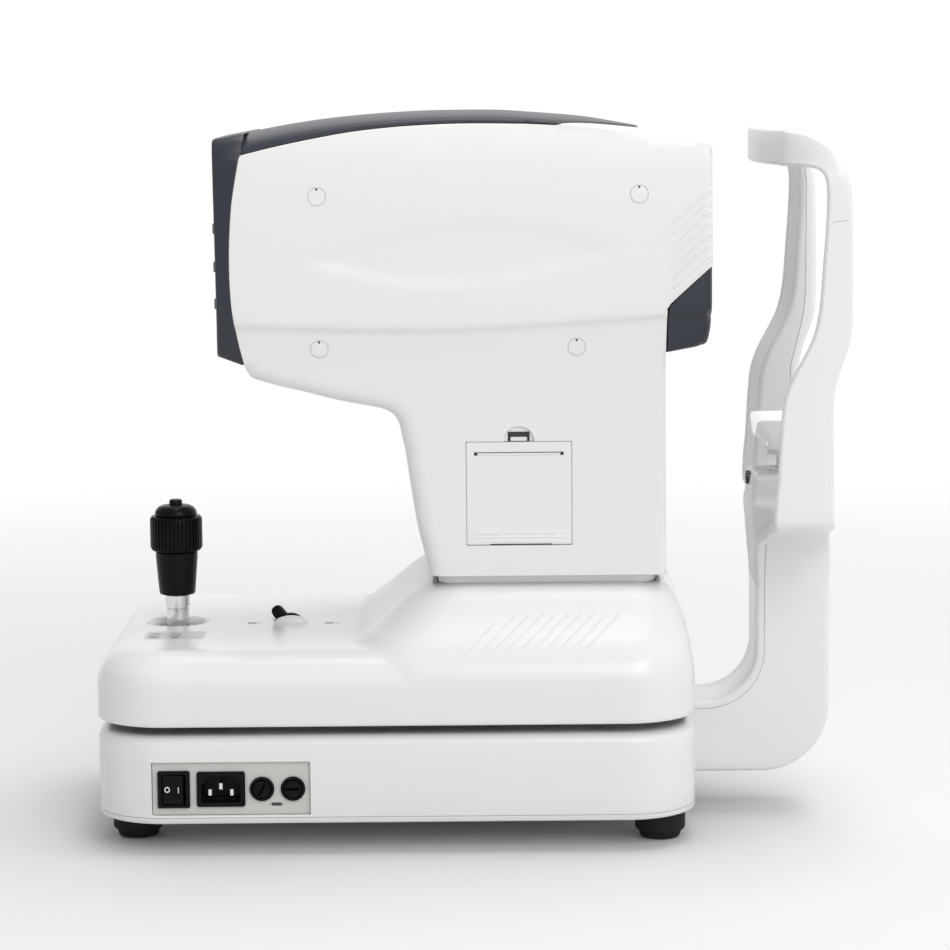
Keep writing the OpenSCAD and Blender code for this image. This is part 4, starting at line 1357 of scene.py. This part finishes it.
# station, front x, front z, rear x, rear z round the brow hook
BEND = [(420, 275.6, 419, 291, 423), (429, 275, 427.6, 288.8, 433),
        (436, 272.6, 433.2, 284.4, 442.6), (443, 267.4, 436.2, 276, 451),
        (450, 259.4, 437.2, 264.5, 457.6), (456, 249.5, 437.2, 249.5, 460.6)]
EDGES = [(z, front, z, rear, z) for z, front, rear in POSTS] + BEND
HOOK = 456
# (half width, station) of the frame's flank from the brow hook down to the tower's foot
FLARE = [(98, HOOK), (106.5, 453.6), (114.5, 449), (120.3, 442), (123.6, 433), (124.8, 422),
         (125, 405), (125, 300), (125, 225), (124.9, 216), (124.2, 211), (122.4, 208.4),
         (119, 206.6), (110, 204.2), (98, 201.8), (84, 199.2), (70, 196.4), (58, 193),
         (48, 189), (40.5, 183.6), (35.5, 176.6), (32.6, 168.6), (30.8, 162), (30, 156)]
# (station, x) of the line where the frame's two mouldings meet inside the posts
PARTING = [(156, 274.5), (292, 274.5), (306, 278), (327, 283), (345, 284.8), (420, 285), (436, 280),
           (446, 270), (456, 251)]
POST_IN = 92
TOWER_HALF = 30
TOWER_TOP = 230
TOWER_OUT = 6
# the roundings of the frame's outer flanks and of the opening inside it
FLANK_R = 2.2
BAY_R = 4
FRONT_SLANT = 5
COVER_SKIN = 5.2
STEM_X = 264.5
SCREW_Z = 225.2


def frame_curves():
    """The posts' front and rear edges as a function of the station."""
    line = spline(EDGES, np.arange(0, len(EDGES) - 0.99, 0.1))
    return lambda s: np.stack([np.interp(s, line[:, 0], line[:, i]) for i in range(1, 5)], 1)


def frame_loop():
    """The frame spread flat: its foot, flanks and the opening between the posts."""
    arc = np.arange(0, 91, 9) * RAD
    low = bow(POST_IN - 16, 229, 16, -arc)
    foot = np.stack([TOWER_HALF + 5 - 5 * np.sin(arc), 218 - 5 * np.cos(arc)], 1)
    flare = np.array(FLARE)
    post = [(POST_IN, z) for z in (HOOK, 430, 360, 300)]
    tower = [(TOWER_HALF, 226), (TOWER_HALF - 0.6, 228.6), (TOWER_HALF - 3, TOWER_TOP)]
    bay = np.vstack([post, low, foot, tower])
    bay = np.vstack([bay, bay[::-1] * [-1, 1]])
    return [([(-30, 156), (30, 156)], 0, False),
            (flare[::-1], FLANK_R, True),
            ([(98, HOOK), (POST_IN, HOOK)], 0, False),
            (curve(bay, 2.5, straight=True), BAY_R, False),
            ([(-POST_IN, HOOK), (-98, HOOK)], 0, False),
            (flare * [-1, 1], FLANK_R, True)]


def frame_covers():
    """Two mouldings: an outer one with the flanks and back, an inner one with the front."""
    edges = frame_curves()
    far = curve(FLARE, 2.0)

    def seam_groove(y, s):
        d = distance(np.stack([np.abs(y), s], 1), far)
        return -0.55 * smooth(1 - np.abs(d - COVER_SKIN - 3) / 0.55)

    lanes = []
    inward = -turned_left(heading(far))
    for d in (7.6, 7.9, 8.2, 8.5, 8.8):
        lane = far + inward * d
        lanes += [lane, lane * [-1, 1]]

    def wrap(points, front):
        e = edges(points[:, 1])
        a, b = e[:, 0:2], e[:, 2:4]
        across = b - a
        across /= np.linalg.norm(across, axis=1)[:, None]
        if front:
            back = smooth((points[:, 1] - 176) / 40) * smooth((446 - points[:, 1]) / 12)
            back = back * FRONT_SLANT * smooth((126 - np.abs(points[:, 0])) / 34)
            tower = smooth((56 - np.abs(points[:, 0])) / 20) * smooth((240 - points[:, 1]) / 4)
            out = TOWER_OUT * smooth((points[:, 1] - 166) / 40)
            back = back * (1 - tower) - out * tower
            at = a + across * (back - points[:, 2])[:, None]
        else:
            at = b + across * points[:, 2:3]
        return np.column_stack([at[:, 0], points[:, 0], at[:, 1]])

    flat = lambda y, s: 0 * y
    rear = Patch(frame_loop(), flat, (), 9)
    front = Patch(frame_loop(), seam_groove, (), 9, lanes)
    outer, inner_cover = Skin(), Skin()
    outer.add(wrap(rear.points, False), rear.faces)
    inner_cover.add(wrap(front.points, True), front.faces)
    for i in (1, 2, 4, 5):
        a, b = wrap(front.edge(i), True), wrap(rear.edge(i), False)
        outer.rows([a, a * 0.5 + b * 0.5, b])
    # the inside walls of the posts, split along the parting line
    a, b = wrap(front.edge(3), True), wrap(rear.edge(3), False)
    bay = front.lines[3]
    inward = turned_left(heading(bay))
    split = np.array(PARTING, float)
    x = np.interp(bay[:, 1], split[:, 0], split[:, 1])
    part = np.clip((x - a[:, 0]) / np.maximum(b[:, 0] - a[:, 0], 1e-6), 0.1, 0.9)
    line = a + (b - a) * part[:, None]
    width = 0.45 / np.maximum(np.linalg.norm(b - a, axis=1), 1)
    before, after = line - (b - a) * width[:, None], line + (b - a) * width[:, None]
    deep = line + np.column_stack([0 * part, inward[:, 0], inward[:, 1]]) * 0.9
    inner_cover.rows([a, before, deep])
    outer.rows([deep, after, b])
    outer.build("frame_outer_skin", white(), "shell_white", "base", ["frame_outer"], sharp=50)
    # painted shade: the front moulding takes the darker copy of the white plastic, standing in for
    # the shade on it
    inner_cover.build("frame_inner_skin", shaded_white(), "shell_white", "base", ["frame_inner"],
                      sharp=50)


def strip(name, finish, slot, replaced, middle, end, half, z0, z1, thick, r, swell=False):
    """A curved strip across the brow, rounded on its long edges."""
    section = closed(rounded_rectangle(0, z0, thick, z1, r, 5))
    rows = []
    for y in np.linspace(-half, half, 40):
        x = middle + (end - middle) * (abs(y) / half) ** 2.2
        fade = math.sqrt(max(0.0, 1 - (abs(y) / half) ** 12)) if swell else 1
        at = section.copy()
        at[:, 0] *= max(fade, 0.1)
        rows.append(np.column_stack([x + at[:, 0], 0 * at[:, 0] + y, at[:, 1]]))
    skin = Skin()
    skin.rows(rows)
    skin.cap(rows[0])
    skin.cap(rows[-1])
    return skin.build(name, finish, slot, "base", [replaced])


def brow():
    """The band across the top of the frame and the soft pad on it."""
    strip("brow_band", white(), "shell_white", "forehead_band", 238, 249.5, 98, 437.2, 460.2,
          11, 2.4)
    pad = strip("brow_pad", silicone(), "pad_silicone", "forehead_pad", 248.4, 256.2, 80, 437.8,
                458, 7.5, 2.4, swell=True)


def chin_column():
    """The bent arm that carries the chin rest from the back of the base."""
    a = np.arange(-90, 1, 6) * RAD
    outer_arc = bow(244, 74, 45, a)
    b = np.arange(0, -91, -6) * RAD
    inner_arc = bow(206, 112, 34, b)
    outer_line = np.vstack([[(194, 29)], outer_arc, [(289, 157)]])
    inner_line = np.vstack([[(240, 157)], inner_arc, [(194, 78)]])
    patch = Patch([(outer_line, 3, False),
                   ([(289, 157), (240, 157)], 0, False),
                   (inner_line, 3, False),
                   ([(194, 78), (194, 29)], 0, False)], lambda x, z: 30 + 0 * x, (), 9)
    skin, seam = Skin(), Skin()
    seam_at = curve(np.vstack([[(240, 186), (240, 172)], inner_line]), 2.0, straight=True)
    inward = turned_left(heading(seam_at))
    flare = np.array(FLARE)[::-1]
    half = np.interp(seam_at[:, 1], flare[:, 1], flare[:, 0]) + 0.07
    for side in (-1, 1):
        turn = along_y(side)
        skin.lay(patch, turn)
        skin.hem(patch, (0, 2), to_middle, turn)
        lines = [seam_at + inward * d for d in (5.3, 5.8)]
        seam.rows([np.column_stack([at[:, 0], side * half, at[:, 1]]) for at in lines])
    skin.build("column_skin", white(), "shell_white", "base", ["chin_column"], sharp=50)
    seam.build("column_seam", line_grey(), "shell_grey", "base")


def base_plate_and_feet():
    """The steel plate under the base and four rubber feet."""
    skin = Skin()
    edge = lying(closed(outline(0.2)), 23.9)
    skin.rows([inner(edge, 3, 23.9), edge, edge * [1, 1, 0] + [0, 0, 21.6],
               inner(edge, 0.5, 20.6), inner(edge, 1.6, 20)])
    skin.cap(inner(edge, 1.6, 20)[:-1])
    skin.build("plate_skin", grey_white(), "painted_steel", "base", ["base_plate"])
    skin = Skin()
    for x, y in ((-172, 72), (172, 88)):
        for side in (-1, 1):
            lathe(skin, [(0.01, 0), (11.4, 0), (12.6, 0.5), (13.2, 1.4), (14, 4.2), (15.6, 5.2),
                         (16.3, 6.2), (16.5, 7.4), (16.5, 18.6), (16, 19.8), (13, 20.1)],
                  x, side * y, 40)
    skin.build("rubber_feet", rubber(), "rubber_black", "base", ["feet"])


# ---- printer door and power panel ------------------------------------------------------

def printer_door():
    """A flat door with a paper slot near its top and three shallow grip ridges below."""
    x0, z0, x1, z1 = DOOR
    loop = refine(rounded_rectangle(x0, z0, x1, z1, 1, 3), 6)
    slot = rounded_rectangle(x0 + 5, 251.7, x1 - 5, 253.9, 0.3, 2)

    def face(x, z):
        ridge = 0 * x
        for at in DOOR_RIDGES:
            ridge = np.maximum(ridge, smooth(1.0 - np.abs(z - at) / 1.0))
        return 86 + 0.45 * ridge * smooth((x - x0 - 3) / 1.5) * smooth((x1 - 3 - x) / 1.5)

    rows = [np.stack([np.arange(x0 + 1, x1, 4), np.full(17, z)], 1)
            for at in DOOR_RIDGES for z in (at - 1, at - 0.5, at, at + 0.5, at + 1)]
    patch = plate(loop, 0.5, face, [(slot, 0.3)], 9, rows)
    turn = along_y(-1)
    skin = Skin()
    skin.lay(patch, turn)
    skin.hem(patch, [0], moved(0, 2.4, 0), turn)
    skin.cap((turn(patch.edge(0)) + [0, 2.4, 0])[:-1])
    skin.wells(patch, [0, 2.2, 0], turn)
    bar = np.array([(x0 + 7.2, 251.8), (x1 - 7.2, 251.8), (x1 - 7.2, 253.2), (x0 + 7.2, 253.2)])
    bar = facing(bar, -85.4)
    skin.rows([closed(bar), closed(bar) + [0, 1.6, 0]])
    skin.cap(bar)
    skin.build("door_face", white(), "shell_grey", "door", ["printer_door"])
    dark = Skin()
    for a, b, c, d, y in ((x0 + 5.2, 251.8, x0 + 7, 253.8, -84.9),
                          (x1 - 7, 251.8, x1 - 5.2, 253.8, -84.9),
                          (62, 193.34, 102, 193.9, -86.03)):
        dark.quad(upright(a, b, c, d, y))
    dark.build("door_slots", black(), "black_plastic", "door")


def latch():
    """The door's small latch tab in its dark notch."""
    well = Skin()
    well.quad(upright(DOOR_MID - 7.1, 260.8, DOOR_MID + 7.1, 266.9, -83.5))
    well.build("latch_well", black(), "black_plastic", "head")
    loop = rounded_rectangle(DOOR_MID - 5.4, 261, DOOR_MID + 5.4, 263.6, 0.6, 3)
    patch = plate(loop, 0.5, lambda x, z: 85.2 + 0 * x, step=2)
    turn = along_y(-1)
    skin = Skin()
    skin.lay(patch, turn)
    skin.hem(patch, [0], moved(0, 1.2, 0), turn)
    skin.build("latch_tab", grey_white(), "shell_grey", "latch", ["door_latch"])


PANEL_Y = -128
PANEL_MID = 42.5
SWITCH_X = -142.8
INLET_X = -112.5
# x, cap, body and the angle of its slot
FUSES = [(-86.1, "fuse_cap_a", "cap_a", 62), (-66.2, "fuse_cap_b", "cap_b", 0)]


def panel_box(x, half, high, r, n, step):
    """A rounded rectangle on the power panel's middle line, half its width and height given."""
    box = rounded_rectangle(x - half, PANEL_MID - high, x + half, PANEL_MID + high, r, n)
    return refine(box, step)


def raised(skin, loop, y, out, r, holes, step):
    """A plate of the given outline standing out from y on the near side."""
    loop = np.asarray(loop, float)
    patch = plate(loop, r, lambda x, z: out - y + 0 * x, holes, step)
    turn = along_y(-1)
    skin.lay(patch, turn)
    skin.hem(patch, [0], lambda edge: to_middle(edge) + [0, y, 0], turn)
    skin.wells(patch, [0, 8, 0], turn)


def panel_plate():
    """The power panel with its openings and a small fuse mark."""
    x0, x1, top = PANEL
    loop = refine(rounded_rectangle(x0 + 0.35, 25.75, x1 - 0.15, top - 0.25, 0.6, 2), 6)
    skin = Skin()
    holes = [(panel_box(SWITCH_X, 8.9, 11.7, 1, 2, 5), 0),
             (panel_box(INLET_X, 14.1, 10.1, 1, 2, 5), 0)]
    holes += [(circle(x, PANEL_MID, 6.9, 32), 0) for x, *_ in FUSES]
    raised(skin, loop, PANEL_Y + 2, 2.0, 0.3, holes, 8)
    skin.build("panel_face", power_grey(), "light_plastic", "base", ["power_panel"])
    mark = Skin()
    for box in ((-80, 31.2, -73.6, 33.4), (-81.4, 32.1, -80, 32.5), (-73.6, 32.1, -72.2, 32.5)):
        mark.quad(upright(*box, PANEL_Y - 0.05))
    mark.build("fuse_mark", mark_grey(), "dark_plastic", "base")


def power_switch():
    """The rocker switch in its frame."""
    skin = Skin()
    loop = panel_box(SWITCH_X, 10.4, 12.1, 1.2, 4, 3)
    hole = panel_box(SWITCH_X, 7.6, 9.9, 0.5, 2, 3)
    raised(skin, loop, PANEL_Y, 2.4, 0.8, [(hole, 0.5)], 4)
    skin.build("switch_frame", gloss_black(), "black_plastic", "base", ["switch_housing"])
    tilt = 10 * RAD
    rocker = Skin()
    u, v = np.array([(-6.8, 1.5), (-6.8, -4.0), (-6.4, -4.4), (-3.4, -3.9), (0, -3.25),
                     (3.4, -3.9), (6.4, -4.4), (6.8, -4.0), (6.8, 1.5)]).T
    section = np.column_stack([SWITCH_X + (u * math.cos(tilt) + v * math.sin(tilt)),
                               PANEL_Y + 2 + (v * math.cos(tilt) - u * math.sin(tilt))])
    rows = [lying(section, PANEL_MID + z) for z in (-9.4, 9.4)]
    rocker.rows(rows)
    rocker.cap(rows[0])
    rocker.cap(rows[1])
    rocker.build("rocker", gloss_black(), "black_plastic", "rocker", ["power_rocker"])
    marks = Skin()

    def on_face(u, v):
        depth = -3.35 - 0.162 * abs(u)
        return [SWITCH_X + u * math.cos(tilt) + depth * math.sin(tilt),
                PANEL_Y + 2 + depth * math.cos(tilt) - u * math.sin(tilt) - 0.06, PANEL_MID + v]

    a = np.arange(0, 361, 15) * RAD
    marks.rows([[on_face(-3.6 + r * math.cos(t), r * math.sin(t) * 1.1) for t in a]
                for r in (1.1, 1.75)])
    marks.rows([[on_face(3.5, v), on_face(4.1, v)] for v in (-1.9, 1.9)])
    marks.build("rocker_marks", white(), "shell_white", "rocker")


def power_inlet():
    """The mains inlet, with two of its corners cut off."""
    w, h, cut = 12.3, 8.2, 5
    hole = [(-w, -h), (w, -h), (w, h - cut), (w - cut, h), (cut - w, h), (-w, h - cut)]
    hole = refine(np.array(hole) + [INLET_X, PANEL_MID], 3)
    loop = panel_box(INLET_X, 15.6, 11.5, 1.6, 4, 3)
    skin = Skin()
    raised(skin, loop, PANEL_Y, 2.2, 0.9, [(hole, 0.5)], 4)
    core = rounded_rectangle(INLET_X - 9, PANEL_MID - 5, INLET_X + 9, PANEL_MID + 4.4, 1, 2)
    core = refine(core, 4)
    raised(skin, core, PANEL_Y + 12, -1, 0.5, (), 4)
    skin.cap(facing(hole, PANEL_Y + 11))
    skin.build("inlet_frame", gloss_black(), "black_plastic", "base", ["inlet_housing"])


def fuses():
    """Two fuse holders and their slotted caps."""
    for x, node, body, turn_at in FUSES:
        holder = Skin()
        rings = [(7.9, 0), (7.9, -1.6), (7.5, -2.1), (6.4, -2.1), (5.95, -1.7), (5.95, 6)]
        holder.rows([facing(closed(circle(x, PANEL_MID, r, 40)), PANEL_Y + y) for r, y in rings])
        holder.build(node + "_holder", gloss_black(), "black_plastic", "base",
                     ["fuse_holders"] if node == "fuse_cap_a" else [])
        cap = Skin()
        slot = np.array([(-4.4, -0.7), (4.4, -0.7), (4.4, 0.7), (-4.4, 0.7)])
        c, s = math.cos(turn_at * RAD), math.sin(turn_at * RAD)
        slot = np.stack([x + slot[:, 0] * c - slot[:, 1] * s,
                         PANEL_MID + slot[:, 0] * s + slot[:, 1] * c], 1)
        raised(cap, circle(x, PANEL_MID, 5.7, 40), PANEL_Y, 3.3, 0.6, [(refine(slot, 3), 0.15)], 2)
        cap.build(node + "_face", gloss_black(), "black_plastic", body, [node])


def eye_marks():
    """A fine line on each post at the height where the patient's eyes should be."""
    skin = Skin()
    for side in (-1, 1):
        y = side * 125.06
        skin.quad([[279, y, 402.1], [289, y, 403.5], [289, y, 403.9], [279, y, 402.5]])
    skin.build("eye_lines", line_grey(), "dark_plastic", "base")


def chin_cup():
    """A shallow trough open at both ends, its sides leaning in towards a flat foot."""
    hollow = lambda x, y: 300 - np.sqrt(45 ** 2 - np.minimum(np.abs(y), 36) ** 2)
    fall = lambda x: 13 * smooth((x - 283) / 13)
    top = lambda x, y: np.minimum(hollow(x, y), 269.5 - fall(x))
    loop = refine(rounded_rectangle(240.2, -31, 292, 31, 3.5, 6), 3)
    patch = plate(loop, 1.2, top, step=4)
    skin = Skin()
    skin.lay(patch)
    edge = patch.edge(0)
    middle = np.array([268.5, 0])
    rows = [edge]
    for t, scale_x, scale_y in ((0.12, 0.95, 0.985), (0.55, 0.72, 0.86), (0.85, 0.7, 0.7),
                                (1, 0.68, 0.6)):
        at = middle + (edge[:, :2] - middle) * [scale_x, scale_y]
        rows.append(np.column_stack([at, edge[:, 2] + (245.8 - edge[:, 2]) * t]))
    skin.rows(rows)
    skin.cap(rows[-1][:-1])
    skin.build("cup_skin", white(), "shell_white", "chin_lift", ["chin_cup"])


def tower_details():
    """The screw at the front of the chin rest's tower and the collar round its stem."""
    skin = Skin()
    rows = []
    a = np.arange(0, 361, 15) * RAD
    for r, x in ((4.6, 238.2), (4.6, 235.6), (4.1, 235), (2.2, 235), (2, 236.2), (0.01, 236.2)):
        rows.append(np.stack([0 * a + x, r * np.cos(a), SCREW_Z + r * np.sin(a)], 1))
    skin.rows(rows)
    skin.build("tower_screw", black(), "black_plastic", "base")
    skin = Skin()
    lathe(skin, [(9.6, 228), (14, 228), (14.6, 228.6), (14.6, 231.4), (14, 232), (9.6, 232)],
          STEM_X, 0, 40)
    skin.build("stem_collar", grey_white(), "shell_grey", "base")


make_camera()
make_studio()
finish_cad()
head_shell(-1)
head_cover(*head_shell(1))
screen_bezel()
keys()
front_fascia()
cap_faces()
stage_cover()
base_shell()
joystick()
lock_lever()
deck_marks()
frame_covers()
brow()
chin_column()
base_plate_and_feet()
printer_door()
latch()
panel_plate()
power_switch()
power_inlet()
fuses()
eye_marks()
chin_cup()
tower_details()
